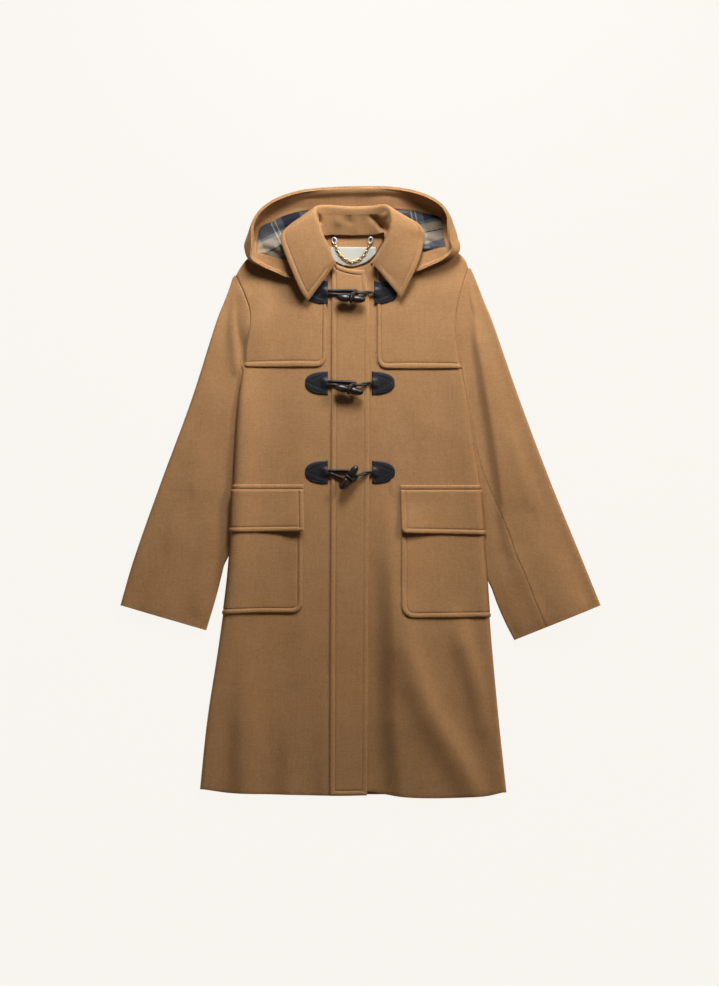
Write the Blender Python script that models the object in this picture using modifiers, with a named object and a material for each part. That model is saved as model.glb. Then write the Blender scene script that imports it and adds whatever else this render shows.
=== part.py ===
"""Duffle coat laid flat on its back with the front up, the hood spread open behind the collar.

Metres, +Z up. The coat lies on z = 0 with its hem towards -Y and its hood towards +Y, and the
origin is under the middle of its outline. "right" and "left" are the wearer's, so the right
front, which closes over the left one, lies at -X.

Each cut piece is one closed solid. A sheet starts as a grid whose points are moved to the
garment's sections, and Solidify gives it the cloth's thickness. What is sewn on a front is cut
from that front's own surface and moved out.
"""

import bisect
import math
from collections import namedtuple

import bmesh
import bpy
from mathutils import Vector

COLLECTION = "duffle_coat"

# ---------------------------------------------------------------- cloth
MELTON = 0.0025          # coat cloth, wall thickness
BAND = 0.0020            # applied bands, flaps and pockets
LINING = 0.0010
COLLAR = 0.0030          # two layers pressed together
LEATHER = 0.0020
SEAM = 0.0004            # between pieces sewn edge to edge
RAISED_SEAM = 0.0015     # the same where both edges slope
REST = 0.0003            # between pieces that lie on each other
ARMHOLE_EASE = 0.0012    # from the back's armhole to the sleeves' lower layers

FLOOR_LAYER = MELTON / 2                       # middle of a layer on the floor
FRONT_LEVEL = 0.0056                           # middle of the left front, over the back
OVERLAP_LIFT = MELTON + 0.0005                 # the right front rides this much higher
SHOULDER_LEVEL = MELTON + REST + MELTON / 2    # the fronts lap on the back at the shoulders
ARMHOLE_LEVEL = 0.0070
ON_FRONT = MELTON / 2 + REST                   # from a front's middle to what lies on it
SECOND = ON_FRONT + BAND + REST                # the next layer up

# ---------------------------------------------------------------- grids
BODY_ROWS = 11           # hem to armpit
CAP_ROWS = 7             # armpit to shoulder tip, shared with the sleeve heads
FRONT_COLUMNS = 10       # side to centre edge, the neck point on column 6
NECK_COLUMN = 6
FOLD_STEPS = 4           # round a side fold
SLEEVE_ROWS = 12
HEAD_START = 10 / 12     # share of the rows below the sleeve head
UNDER_COLUMNS = 5
COLLAR_ROWS = 20
HOOD_ROWS = 32

# ---------------------------------------------------------------- body outline
HEM_Y = -0.520
ARMPIT_Y = 0.220
# Side edge of the laid coat at each level, and the height of the side fold.
Level = namedtuple("Level", "y right left fold")
SIDES = (
    Level(-0.521, -0.281, 0.255, 0.0118),
    Level(-0.400, -0.269, 0.242, 0.0112),
    Level(-0.259, -0.249, 0.229, 0.0105),
    Level(-0.136, -0.233, 0.220, 0.0100),
    Level(0.010, -0.223, 0.209, 0.0096),
    Level(0.090, -0.219, 0.196, 0.0090),
    Level(0.160, -0.214, 0.187, 0.0086),
    Level(0.220, -0.206, 0.176, 0.0082),
)
# The side seam lies under the coat, this far in from the side fold.
WRAP_AT_HEM = 0.055
WRAP_AT_ARMPIT = 0.016

ARMHOLE = {
    "right": ((-0.200, 0.221), (-0.1965, 0.257), (-0.190, 0.292), (-0.192, 0.317),
              (-0.202, 0.343), (-0.213, 0.370)),
    "left": ((0.170, 0.216), (0.167, 0.250), (0.1665, 0.290), (0.171, 0.327),
             (0.180, 0.362), (0.187, 0.388)),
}
SHOULDER = {
    "right": ((-0.213, 0.370), (-0.205, 0.392), (-0.194, 0.408), (-0.176, 0.421),
              (-0.141, 0.436), (-0.078, 0.448)),
    "left": ((0.187, 0.388), (0.180, 0.404), (0.169, 0.416), (0.148, 0.427),
             (0.104, 0.439), (0.043, 0.452)),
}
NECK = {
    "right": ((-0.078, 0.448), (-0.067, 0.421), (-0.046, 0.400), (-0.016, 0.3895), (0.008, 0.388)),
    "left": ((0.043, 0.452), (0.037, 0.424), (0.018, 0.402), (-0.012, 0.391), (-0.052, 0.388)),
}
BACK_COLUMNS = 10
BACK_SHOULDER = 0.3      # share of the back's width that each shoulder seam takes
BACK_HEM_SAG = 0.006
HEM = {
    "right": ((-0.2745, -0.520), (-0.228, -0.5265), (-0.150, -0.529), (-0.053, -0.531), (0.0115, -0.530)),
    "left": ((0.2485, -0.522), (0.222, -0.5315), (0.192, -0.5345), (0.130, -0.5360), (0.078, -0.534),
             (0.038, -0.528), (0.012, -0.5235), (-0.052, -0.522)),
}
CENTRE_EDGE = {
    "right": ((-0.530, 0.0115), (-0.200, 0.0135), (0.160, 0.0155), (0.360, 0.0150), (0.388, 0.0080)),
    "left": ((-0.522, -0.052), (0.388, -0.052)),
}
OUTWARD = {"right": -1.0, "left": 1.0}

# Soft ridges (height above 0) and troughs (below 0) of the body, each along a line.
Fold = namedtuple("Fold", "x0 y0 x1 y1 height width")
FOLDS = {
    "right": (
        Fold(-0.170, 0.350, -0.190, 0.235, 0.0030, 0.020),
        Fold(-0.205, -0.380, -0.240, -0.530, -0.0030, 0.022),
        Fold(-0.165, -0.330, -0.185, -0.530, 0.0025, 0.035),
        Fold(-0.110, -0.250, -0.105, -0.530, -0.0012, 0.030),
    ),
    "left": (
        Fold(0.100, -0.060, 0.215, -0.470, 0.0045, 0.038),
        Fold(0.045, -0.040, 0.045, -0.530, -0.0015, 0.020),
        Fold(0.135, -0.330, 0.125, -0.535, -0.0015, 0.030),
        Fold(0.085, -0.380, 0.090, -0.530, 0.0030, 0.025),
        Fold(0.150, 0.340, 0.160, 0.240, 0.0015, 0.022),
    ),
}
OVERLAP_FROM, OVERLAP_TO = -0.140, -0.094      # where the right front climbs on the left one

# ---------------------------------------------------------------- sleeves
# Inner and outer edge of each sleeve from the cuff to the armhole.
SLEEVE_EDGES = {
    "right": {
        "inner": ((-0.270, -0.242), (-0.255, -0.192), (-0.2445, -0.152), (-0.2375, -0.118),
                  (-0.2334, -0.050), (-0.2310, -0.006), (-0.2266, 0.024), (-0.2204, 0.091),
                  (-0.2154, 0.160), (-0.2072, 0.219)),
        "outer": ((-0.420, -0.198), (-0.397, -0.119), (-0.348, 0.021), (-0.298, 0.161),
                  (-0.254, 0.301), (-0.2385, 0.336), (-0.229, 0.357), (-0.2175, 0.371)),
    },
    "left": {
        "inner": ((0.269, -0.259), (0.253, -0.228), (0.236, -0.188), (0.2265, -0.155),
                  (0.2224, -0.080), (0.2182, 0.000), (0.2090, 0.035), (0.1996, 0.080),
                  (0.1890, 0.160), (0.1796, 0.214)),
        "outer": ((0.420, -0.198), (0.388, -0.119), (0.331, 0.021), (0.278, 0.161),
                  (0.229, 0.301), (0.2145, 0.336), (0.2065, 0.357), (0.1955, 0.380),
                  (0.1895, 0.390)),
    },
}
SLEEVE_LEVEL = 0.0062        # middle of the upper layer, between its folds
# Middle of the upper layer at a sleeve's two folds, and how far each fold holds it up.
Roll = namedtuple("Roll", "inner inner_reach outer outer_reach")
SLEEVE_ROLL = {
    "right": Roll(0.0062, 0.020, 0.0105, 0.028),
    "left": Roll(0.0085, 0.009, 0.0120, 0.030),
}
FOLD_REACH = 0.028           # how far the body's side folds hold the fronts up
UNDER_SEAM_IN = 0.018        # seams on the underside, from the folds
UNDER_SEAM_OUT = 0.030
# Share of the left sleeve's width at which its front seam runs over the top, cuff to armhole.
LEFT_FRONT_SEAM = ((0.0, 0.36), (0.20, 0.27), (0.45, 0.10), (0.60, 0.045), (0.90, 0.045), (1.0, 0.125))
SLEEVE_FOLDS = {
    "right": (
        Fold(-0.228, 0.340, -0.220, 0.225, -0.0022, 0.014),
        Fold(-0.300, 0.060, -0.330, -0.060, 0.0020, 0.022),
        Fold(-0.262, 0.180, -0.290, 0.020, 0.0018, 0.020),
        Fold(-0.330, -0.120, -0.345, -0.215, -0.0015, 0.022),
    ),
    "left": (
        Fold(0.194, 0.330, 0.232, -0.060, -0.0040, 0.012),
        Fold(0.210, 0.300, 0.262, -0.030, 0.0075, 0.019),
        Fold(0.290, 0.060, 0.345, -0.080, 0.0022, 0.022),
        Fold(0.385, -0.110, 0.395, -0.195, 0.0018, 0.016),
    ),
}

# ---------------------------------------------------------------- pieces sewn on the fronts
PLACKET = ((-0.0535, -0.540, 0), (0.020, -0.540, 0), (0.020, 0.400, 0), (-0.0510, 0.400, 0))
STORM_FLAP = {
    "right": ((-0.2010, 0.2195, 0), (-0.060, 0.2185, 0.019), (-0.060, 0.500, 0), (-0.2350, 0.500, 0)),
    "left": ((0.029, 0.500, 0), (0.029, 0.2155, 0.019), (0.1690, 0.2155, 0), (0.2050, 0.500, 0)),
}
POCKET = {
    "right": ((-0.300, -0.2105, 0), (-0.1025, -0.2105, 0.016), (-0.1005, -0.0020, 0), (-0.300, -0.0020, 0)),
    "left": ((0.0715, -0.0020, 0), (0.0715, -0.2180, 0.020), (0.300, -0.2180, 0), (0.300, -0.0020, 0)),
}
POCKET_FLAP = {
    "right": ((-0.300, -0.0705, 0), (-0.0985, -0.0690, 0.003), (-0.1000, 0.0050, 0), (-0.300, 0.0050, 0)),
    "left": ((0.0695, 0.0040, 0), (0.0735, -0.0720, 0.008), (0.300, -0.0755, 0), (0.300, 0.0040, 0)),
}
POCKET_BAND = {
    "right": ((-0.300, 0.0050, 0), (-0.0995, 0.0050, 0), (-0.0995, 0.0130, 0), (-0.300, 0.0130, 0)),
    "left": ((0.0690, 0.0040, 0), (0.300, 0.0040, 0), (0.300, 0.0120, 0), (0.0690, 0.0120, 0)),
}
# The flaps' front lower corners stand off the pockets a little.
FLAP_CORNER = {"right": (-0.0985, -0.0690), "left": (0.0735, -0.0720)}
FLAP_LIFT, FLAP_LIFT_REACH = 0.0060, 0.040
SIDE_TRIM = 0.0052           # what is sewn on a front ends above this height, on its side fold

# ---------------------------------------------------------------- collar
# Neck seam, roll and outer edge of the collar, from its right front end round to its left one.
Collar = namedtuple("Collar", "seam roll edge")
COLLAR_SECTIONS = (
    Collar((-0.041, 0.392, 0.0195), (-0.043, 0.396, 0.0215), (-0.092, 0.334, 0.0175)),
    Collar((-0.053, 0.403, 0.0195), (-0.049, 0.410, 0.0275), (-0.104, 0.352, 0.0200)),
    Collar((-0.066, 0.420, 0.0195), (-0.056, 0.428, 0.0335), (-0.118, 0.383, 0.0250)),
    Collar((-0.074, 0.436, 0.0190), (-0.066, 0.449, 0.0385), (-0.131, 0.416, 0.0275)),
    Collar((-0.077, 0.447, 0.0180), (-0.074, 0.473, 0.0415), (-0.139, 0.442, 0.0280)),
    Collar((-0.073, 0.4502, 0.0150), (-0.079, 0.490, 0.0420), (-0.131, 0.458, 0.0290)),
    Collar((-0.066, 0.4485, 0.0126), (-0.076, 0.501, 0.0385), (-0.103, 0.478, 0.0200)),
    Collar((-0.050, 0.4500, 0.0066), (-0.058, 0.504, 0.0340), (-0.070, 0.474, 0.0105)),
    Collar((-0.015, 0.4492, 0.0066), (-0.015, 0.501, 0.0310), (-0.015, 0.470, 0.0100)),
    Collar((0.020, 0.4502, 0.0066), (0.018, 0.501, 0.0320), (0.024, 0.472, 0.0105)),
    Collar((0.034, 0.4520, 0.0105), (0.041, 0.502, 0.0370), (0.060, 0.482, 0.0190)),
    Collar((0.041, 0.453, 0.0145), (0.051, 0.494, 0.0410), (0.094, 0.472, 0.0280)),
    Collar((0.043, 0.446, 0.0180), (0.054, 0.474, 0.0415), (0.110, 0.455, 0.0280)),
    Collar((0.042, 0.436, 0.0190), (0.050, 0.449, 0.0385), (0.110, 0.440, 0.0260)),
    Collar((0.037, 0.422, 0.0195), (0.041, 0.431, 0.0335), (0.104, 0.412, 0.0265)),
    Collar((0.028, 0.407, 0.0195), (0.030, 0.414, 0.0275), (0.092, 0.382, 0.0250)),
    Collar((0.017, 0.395, 0.0195), (0.018, 0.399, 0.0215), (0.071, 0.340, 0.0175)),
)
ROLL_RADIUS = 0.0032
# Rings of the collar: on its stand, its roll or its fall, and how far along that.
COLLAR_LINE = (("stand", 0.0), ("stand", 0.55), ("stand", 1.0), ("roll", 0.0),
               ("fall", 0.0), ("fall", 0.5), ("fall", 1.0))

# ---------------------------------------------------------------- hood
# Rim, how far the wall bulges past it, where the wall's foot and the facing's inner edge lie
# from it (towards the middle below 0), and the neck seam, from the right front end to the left.
Hood = namedtuple("Hood", "rim bulge foot facing seam")
HOOD_SECTIONS = (
    Hood((-0.057, 0.397, 0.0150), 0.0, -0.001, -0.002, (-0.050, 0.402)),
    Hood((-0.085, 0.386, 0.0165), 0.0, -0.003, -0.008, (-0.057, 0.408)),
    Hood((-0.118, 0.375, 0.0190), 0.0005, -0.006, -0.030, (-0.064, 0.416)),
    Hood((-0.148, 0.385, 0.0250), 0.0010, -0.006, -0.024, (-0.069, 0.426)),
    Hood((-0.174, 0.397, 0.0290), 0.0020, -0.004, -0.020, (-0.073, 0.436)),
    Hood((-0.193, 0.410, 0.0320), 0.0050, 0.000, -0.012, (-0.075, 0.444)),
    Hood((-0.193, 0.429, 0.0360), 0.0115, 0.003, -0.009, (-0.073, 0.4500)),
    Hood((-0.194, 0.450, 0.0390), 0.0060, 0.001, -0.010, (-0.066, 0.4508)),
    Hood((-0.192, 0.472, 0.0400), 0.0010, -0.006, -0.018, (-0.058, 0.4502)),
    Hood((-0.179, 0.494, 0.0390), -0.0010, -0.012, -0.029, (-0.048, 0.4498)),
    Hood((-0.151, 0.513, 0.0370), -0.0020, -0.015, -0.032, (-0.038, 0.4501)),
    Hood((-0.106, 0.527, 0.0345), -0.0020, -0.016, -0.034, (-0.028, 0.4505)),
    Hood((-0.053, 0.5325, 0.0325), -0.0020, -0.016, -0.034, (-0.018, 0.4508)),
    Hood((0.000, 0.5335, 0.0325), -0.0020, -0.016, -0.034, (-0.008, 0.4511)),
    Hood((0.052, 0.5330, 0.0335), -0.0020, -0.016, -0.036, (0.004, 0.4515)),
    Hood((0.101, 0.525, 0.0360), -0.0020, -0.014, -0.033, (0.016, 0.4519)),
    Hood((0.139, 0.508, 0.0390), -0.0010, -0.010, -0.025, (0.026, 0.4524)),
    Hood((0.156, 0.486, 0.0410), 0.0020, -0.004, -0.014, (0.034, 0.4534)),
    Hood((0.157, 0.462, 0.0400), 0.0090, 0.002, -0.009, (0.040, 0.4540)),
    Hood((0.157, 0.440, 0.0370), 0.0130, 0.004, -0.009, (0.044, 0.448)),
    Hood((0.159, 0.423, 0.0330), 0.0120, 0.003, -0.012, (0.043, 0.440)),
    Hood((0.146, 0.409, 0.0290), 0.0030, -0.003, -0.020, (0.041, 0.431)),
    Hood((0.120, 0.396, 0.0250), 0.0010, -0.006, -0.025, (0.037, 0.421)),
    Hood((0.091, 0.385, 0.0190), 0.0005, -0.006, -0.028, (0.031, 0.413)),
    Hood((0.055, 0.385, 0.0165), 0.0, -0.003, -0.008, (0.026, 0.406)),
    Hood((0.026, 0.397, 0.0150), 0.0, -0.001, -0.002, (0.020, 0.402)),
)
COVERED = 2                  # columns at each end of the hood that the collar covers
FACING_RINGS = 4             # rings of the hood grid from the rim to the facing's inner edge
HOOD_RINGS = 8
# Rings of the wall, rim to foot: shares of the way down, of the bulge and of the foot's shift.
HOOD_WALL = ((0.0, 0.0, 0.0), (0.35, 0.75, 0.0), (0.70, 1.0, 0.25), (1.0, 0.0, 1.0))
HOOD_FACING = 0.0020
# The hood lies on the floor behind the shoulders and climbs on the coat in front of them.
SHOULDER_LINE = (
    (-0.230, 0.350), (-0.213, 0.380), (-0.205, 0.394), (-0.194, 0.409), (-0.176, 0.422), (-0.141, 0.438),
    (-0.090, 0.450), (-0.074, 0.448), (-0.058, 0.440), (-0.040, 0.431), (-0.015, 0.427), (0.008, 0.431),
    (0.024, 0.440), (0.040, 0.451), (0.058, 0.454), (0.104, 0.443), (0.148, 0.430), (0.169, 0.418),
    (0.180, 0.406), (0.187, 0.392), (0.205, 0.360),
)
COAT_TOP = 0.0134
CLIMB_BEHIND, CLIMB_LENGTH = 0.022, 0.034

# ---------------------------------------------------------------- neck opening
# The facing and the label end where the fronts' neck edges begin to cover them.
NECK_FACING = ((-0.0752, 0.4460), (-0.0652, 0.4235), (-0.0455, 0.4025), (-0.0310, 0.3955), (-0.0125, 0.3930),
               (0.0060, 0.3990), (0.0170, 0.4045), (0.0320, 0.4260), (0.0370, 0.4480), (-0.0150, 0.4475))
LABEL = ((-0.0525, 0.4110), (-0.0445, 0.4035), (-0.0305, 0.3965), (-0.0125, 0.3940), (0.0050, 0.3996),
         (0.0160, 0.4055), (0.0270, 0.4170), (0.0270, 0.4285), (-0.0525, 0.4285))
FACING_STEPS = 24
FACING_TOP = MELTON + REST + BAND
LABEL_TOP = FACING_TOP + REST + LINING
Ring = namedtuple("Ring", "name x y turn")
RINGS = (Ring("chain_ring_right", -0.0460, 0.4395, 15), Ring("chain_ring_left", 0.0175, 0.4400, -15))
RING_WIRE = 0.0016
RING_HALF = (0.0036, 0.0054)      # half width and half length of the wire's middle line
CHAIN_RADIUS = 0.0020
CHAIN_ROUTE = ((-0.0437, 0.4312), (-0.0395, 0.4225), (-0.0330, 0.4120), (-0.0235, 0.4050), (-0.0140, 0.4025),
               (-0.0050, 0.4050), (0.0030, 0.4110), (0.0100, 0.4215), (0.0150, 0.4317))

# ---------------------------------------------------------------- fastenings
PATCH_LENGTH, PATCH_WIDTH = 0.040, 0.0405
PATCH_RIGHT_X = -0.0570           # straight ends of the patches
PATCH_STEPS = 7
PATCH_POINT = 0.85                # below 1 the sides stay wide for longer
STORM_FLAP_BOTTOM = 0.220
PLACKET_TOP = FRONT_LEVEL + OVERLAP_LIFT + ON_FRONT + BAND
LOOP_PAST = 0.011                 # the loop's end, past the toggle's middle
TOGGLE_SIDES = 12
LOOP_RADIUS = 0.0024
CORD_RADIUS = 0.0017
LOOP_POINTS, CORD_POINTS, CHAIN_POINTS = 20, 20, 16
# The toggle cord climbs the placket's edge: places off that edge and above the placket.
CORD_CLIMB = ((0.0031, -0.0010), (0.0023, 0.0010), (-0.0008, 0.00225))
TOGGLE_HALF = 0.0225
# Half profile of a toggle: place along it and radius, with a groove at its middle for the cord.
TOGGLE_PROFILE = ((0.0, 0.0046), (0.0024, 0.0048), (0.0048, 0.0068), (0.0100, 0.0074), (0.0160, 0.0066),
                  (0.0205, 0.0048), (0.0225, 0.0022))
# Patches' middle line, the left patch's straight end, the toggle's middle and its turn, and how
# far above it the loop's end lies.
Fastening = namedtuple("Fastening", "row y left_x toggle_x toggle_y toggle_z turn loop_rise")
FASTENINGS = (
    Fastening(1, 0.3490, 0.0240, -0.0165, 0.3380, 0.0252, -5, 0.0105),
    Fastening(2, 0.1905, 0.0200, -0.0200, 0.1785, 0.0252, -12, 0.0095),
    Fastening(3, 0.0345, 0.0205, -0.0205, 0.0255, 0.0250, 53, 0.0020),
)


# ================================================================ curves and heights
def smooth(share):
    """0 to 1 with level ends."""
    share = min(1.0, max(0.0, share))
    return share * share * (3.0 - 2.0 * share)


def hermite(knots, values, at):
    """The smooth curve through the values at the knots. Values are numbers or Vectors."""
    last = len(knots) - 1
    k = min(max(bisect.bisect_right(knots, at), 1), last)

    def slope(i):
        low, high = max(i - 1, 0), min(i + 1, last)
        return (values[high] - values[low]) * (1.0 / (knots[high] - knots[low]))

    span = knots[k] - knots[k - 1]
    t = (at - knots[k - 1]) / span
    return (
        values[k - 1] * (2 * t**3 - 3 * t**2 + 1)
        + slope(k - 1) * (span * (t**3 - 2 * t**2 + t))
        + values[k] * (3 * t**2 - 2 * t**3)
        + slope(k) * (span * (t**3 - t**2))
    )


def table_at(rows, at):
    """Second column at a place in the first one."""
    return hermite([row[0] for row in rows], [row[1] for row in rows], at)


def curve_at(points, share):
    """Point at a share, 0 to 1 by length, of the smooth curve through the points."""
    points = [Vector(p) for p in points]
    knots = [0.0]
    for a, b in zip(points, points[1:]):
        knots.append(knots[-1] + (b - a).length)
    return hermite(knots, points, share * knots[-1])


def fold_height(folds, x, y):
    """Height that the folds add at a place: a soft bump across each line, fading at its ends."""
    total = 0.0
    for fold in folds:
        start, end = Vector((fold.x0, fold.y0)), Vector((fold.x1, fold.y1))
        line = end - start
        along = (Vector((x, y)) - start).dot(line) / line.length_squared
        near = start + line * min(1.0, max(0.0, along))
        across = (Vector((x, y)) - near).length / fold.width
        total += fold.height * math.exp(-across * across)
    return total


def side_x(side, y):
    """Side edge of the laid body, its outermost line."""
    return table_at([(row.y, getattr(row, side)) for row in SIDES], y)


def fold_level(y):
    """Middle of the upper layer on the side fold."""
    return table_at([(row.y, row.fold) for row in SIDES], y)


def fold_inset(y):
    """From the side edge in to where the upper layer lies level."""
    return (fold_level(y) - FLOOR_LAYER) / 2 + MELTON / 2


def front_height(side, x, y):
    """Middle of a front's upper layer."""
    level = FRONT_LEVEL
    if side == "right":
        level += OVERLAP_LIFT * smooth((x - OVERLAP_FROM) / (OVERLAP_TO - OVERLAP_FROM))
    below = smooth((ARMPIT_Y + 0.012 - y) / 0.030)
    edge_y = min(y, ARMPIT_Y)
    edge_x = side_x(side, edge_y) - OUTWARD[side] * fold_inset(edge_y)
    if y > ARMPIT_Y:
        edge_x = table_at([(p[1], p[0]) for p in ARMHOLE[side]], min(y, ARMHOLE[side][-1][1]))
    edge_level = ARMHOLE_LEVEL + (fold_level(edge_y) - ARMHOLE_LEVEL) * below
    inward = max(0.0, (edge_x - x) * OUTWARD[side])
    puff = math.exp(-((inward / FOLD_REACH) ** 2))
    level += (edge_level - FRONT_LEVEL) * puff
    hidden = side == "left" and x < 0.016
    if not hidden:
        level += fold_height(FOLDS[side], x, y) * (1.0 - puff)
    shoulder = min((Vector((x, y)) - curve_at(SHOULDER[side], k / 12)).length for k in range(13))
    ease = smooth(shoulder / 0.040)
    return max(SHOULDER_LEVEL, SHOULDER_LEVEL + (level - SHOULDER_LEVEL) * ease)


# ================================================================ meshes
def grid(columns, rows, place):
    """A grid of (columns, rows) cells with each point moved to place(column, row). A point for
    which place gives None is left out."""
    bm = bmesh.new()
    row_of = bm.verts.layers.int.new("row")
    column_of = bm.verts.layers.int.new("column")
    bmesh.ops.create_grid(bm, x_segments=columns, y_segments=rows, size=0.5)
    gone = []
    for vert in bm.verts:
        column = round((vert.co.x + 0.5) * columns)
        row = round((vert.co.y + 0.5) * rows)
        vert[row_of], vert[column_of] = row, column
        spot = place(column, row)
        if spot is None:
            gone.append(vert)
        else:
            vert.co = spot
    bmesh.ops.delete(bm, geom=gone, context="VERTS")
    bmesh.ops.remove_doubles(bm, verts=bm.verts[:], dist=0.00001)
    bmesh.ops.triangulate(bm, faces=bm.faces[:], quad_method="SHORT_EDGE")
    bm.normal_update()
    return bm


def turned_up(bm):
    """The sheet with its faces pointing up on the whole."""
    upper = [face for face in bm.faces if face.calc_center_median().z > 0.004] or bm.faces
    if sum(face.normal.z * face.calc_area() for face in upper) < 0:
        bmesh.ops.reverse_faces(bm, faces=bm.faces[:])
    bm.normal_update()
    return bm


def moved_out(bm, distance):
    """A copy of a sheet, moved along its normals by an even distance."""
    copy = bm.copy()
    copy.normal_update()
    spots = [vert.co + vert.normal * vert.calc_shell_factor() * distance for vert in copy.verts]
    for vert, spot in zip(copy.verts, spots):
        vert.co = spot
    copy.normal_update()
    return copy


def rounded(corners, steps=3):
    """Outline through corners (x, y, radius), anticlockwise, with its rounded corners as arcs."""
    outline = []
    for i, (x, y, radius) in enumerate(corners):
        here = Vector((x, y))
        if not radius:
            outline.append(here)
            continue
        before = (Vector(corners[i - 1][:2]) - here).normalized()
        after = (Vector(corners[(i + 1) % len(corners)][:2]) - here).normalized()
        half = before.angle(after) / 2
        centre = here + (before + after).normalized() * (radius / math.sin(half))
        start = here + before * (radius / math.tan(half)) - centre
        end = here + after * (radius / math.tan(half)) - centre
        sweep = math.pi - 2 * half
        for k in range(steps + 1):
            a = math.sin(sweep * (1 - k / steps)) / math.sin(sweep)
            b = math.sin(sweep * k / steps) / math.sin(sweep)
            outline.append(centre + start * a + end * b)
    return outline


def cut_to(bm, outline):
    """Cuts a sheet to a convex outline, seen from above, and off below the side folds' middle."""
    for a, b in zip(outline, outline[1:] + outline[:1]):
        outward = Vector((b.y - a.y, a.x - b.x, 0.0))
        geom = bm.verts[:] + bm.edges[:] + bm.faces[:]
        bmesh.ops.bisect_plane(bm, geom=geom, plane_co=(a.x, a.y, 0.0), plane_no=outward, clear_outer=True)
    geom = bm.verts[:] + bm.edges[:] + bm.faces[:]
    bmesh.ops.bisect_plane(bm, geom=geom, plane_co=(0, 0, SIDE_TRIM), plane_no=(0, 0, -1), clear_outer=True)
    bm.normal_update()
    return bm


def lifted(bm, corner, height, reach):
    """The sheet raised round a corner."""
    for vert in bm.verts:
        away = (vert.co.xy - Vector(corner)).length / reach
        vert.co.z += height * math.exp(-away * away)
    bm.normal_update()
    return bm


def material(name, colour, roughness, metallic=0.0):
    made = bpy.data.materials.get(name) or bpy.data.materials.new(name)
    made.use_nodes = True
    shader = made.node_tree.nodes["Principled BSDF"]
    shader.inputs["Base Color"].default_value = (*colour, 1.0)
    shader.inputs["Roughness"].default_value = roughness
    shader.inputs["Metallic"].default_value = metallic
    return made


def wool():
    return material("camel_wool", (0.42, 0.25, 0.13), 0.95)


def lining_cloth():
    return material("check_lining", (0.33, 0.31, 0.28), 0.8)


def label_cloth():
    return material("woven_label", (0.85, 0.82, 0.74), 0.7)


def leather():
    return material("dark_leather", (0.016, 0.018, 0.026), 0.45)


def cord():
    return material("leather_cord", (0.03, 0.02, 0.018), 0.5)


def horn():
    return material("horn", (0.045, 0.028, 0.016), 0.3)


def brass():
    return material("brass", (0.83, 0.72, 0.42), 0.25, 1.0)


def steel():
    return material("steel", (0.80, 0.79, 0.77), 0.2, 1.0)


def add(name, mesh, made_of):
    """One named sub-part in the coat's collection."""
    mesh.materials.append(made_of)
    piece = bpy.data.objects.new(name, mesh)
    bpy.data.collections[COLLECTION].objects.link(piece)
    return piece


def add_sheet(name, bm, thickness, made_of, side=0.0):
    """A sheet of cloth: Solidify gives it its thickness, about the sheet or to one side of it."""
    mesh = bpy.data.meshes.new(name)
    bm.to_mesh(mesh)
    bm.free()
    piece = add(name, mesh, made_of)
    wall = piece.modifiers.new("cloth", "SOLIDIFY")
    wall.thickness = thickness
    wall.offset = side
    wall.use_even_offset = True
    return piece


# ================================================================ body
def row_y(row):
    """Level of a body row on the side edge, hem to armpit."""
    return HEM_Y + (ARMPIT_Y - HEM_Y) * row / BODY_ROWS


def side_point(side, row):
    """The front's outermost level point on a row: inside the side fold, then the armhole."""
    if row <= BODY_ROWS:
        y = row_y(row)
        return Vector((side_x(side, y) - OUTWARD[side] * fold_inset(y), y))
    return curve_at(ARMHOLE[side], (row - BODY_ROWS) / CAP_ROWS)


def centre_point(side, row):
    """The front's centre edge on a row."""
    low, high = CENTRE_EDGE[side][0][0], CENTRE_EDGE[side][-1][0]
    if row <= BODY_ROWS:
        y = low + (ARMPIT_Y - low) * row / BODY_ROWS
    else:
        y = ARMPIT_Y + (high - ARMPIT_Y) * (row - BODY_ROWS) / CAP_ROWS
    return Vector((table_at(CENTRE_EDGE[side], y), y))


def top_point(side, column):
    """The front's shoulder seam, then its neck edge."""
    if column <= NECK_COLUMN:
        return curve_at(SHOULDER[side], column / NECK_COLUMN)
    return curve_at(NECK[side], (column - NECK_COLUMN) / (FRONT_COLUMNS - NECK_COLUMN))


def patch_point(bottom, top, first, last, u, v, corners):
    """Point of the patch between four edges (Coons), given the ends of its bottom and top edge."""
    p00, p10, p01, p11 = corners
    ruled = bottom * (1 - v) + top * v + first * (1 - u) + last * u
    return ruled - (p00 * (1 - u) + p10 * u) * (1 - v) - (p01 * (1 - u) + p11 * u) * v


def wrap_width(row):
    return WRAP_AT_HEM + (WRAP_AT_ARMPIT - WRAP_AT_HEM) * row / BODY_ROWS


def front_point(side, column, row):
    """Point of a front. Columns below 0 go round the side fold and under the coat."""
    rows = BODY_ROWS + CAP_ROWS
    if column < 0:
        if row > BODY_ROWS:
            return None
        spot = side_point(side, row)
        level = front_height(side, spot.x, spot.y)
        radius = (level - FLOOR_LAYER) / 2
        if column >= -FOLD_STEPS:
            angle = math.pi / 2 + math.pi * column / FOLD_STEPS
            out = OUTWARD[side] * radius * math.cos(angle)
            return Vector((spot.x + out, spot.y, FLOOR_LAYER + radius + radius * math.sin(angle)))
        return Vector((spot.x - OUTWARD[side] * wrap_width(row), spot.y, FLOOR_LAYER))
    u, v = column / FRONT_COLUMNS, row / rows
    spot = patch_point(
        curve_at(HEM[side], u), top_point(side, column), side_point(side, row), centre_point(side, row), u, v,
        (Vector(HEM[side][0]), Vector(HEM[side][-1]), Vector(SHOULDER[side][0]), Vector(NECK[side][-1])),
    )
    return Vector((spot.x, spot.y, front_height(side, spot.x, spot.y)))


def front_surface(side):
    under = FOLD_STEPS + 1
    return turned_up(
        grid(FRONT_COLUMNS + under, BODY_ROWS + CAP_ROWS, lambda c, r: front_point(side, c - under, r))
    )


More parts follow.
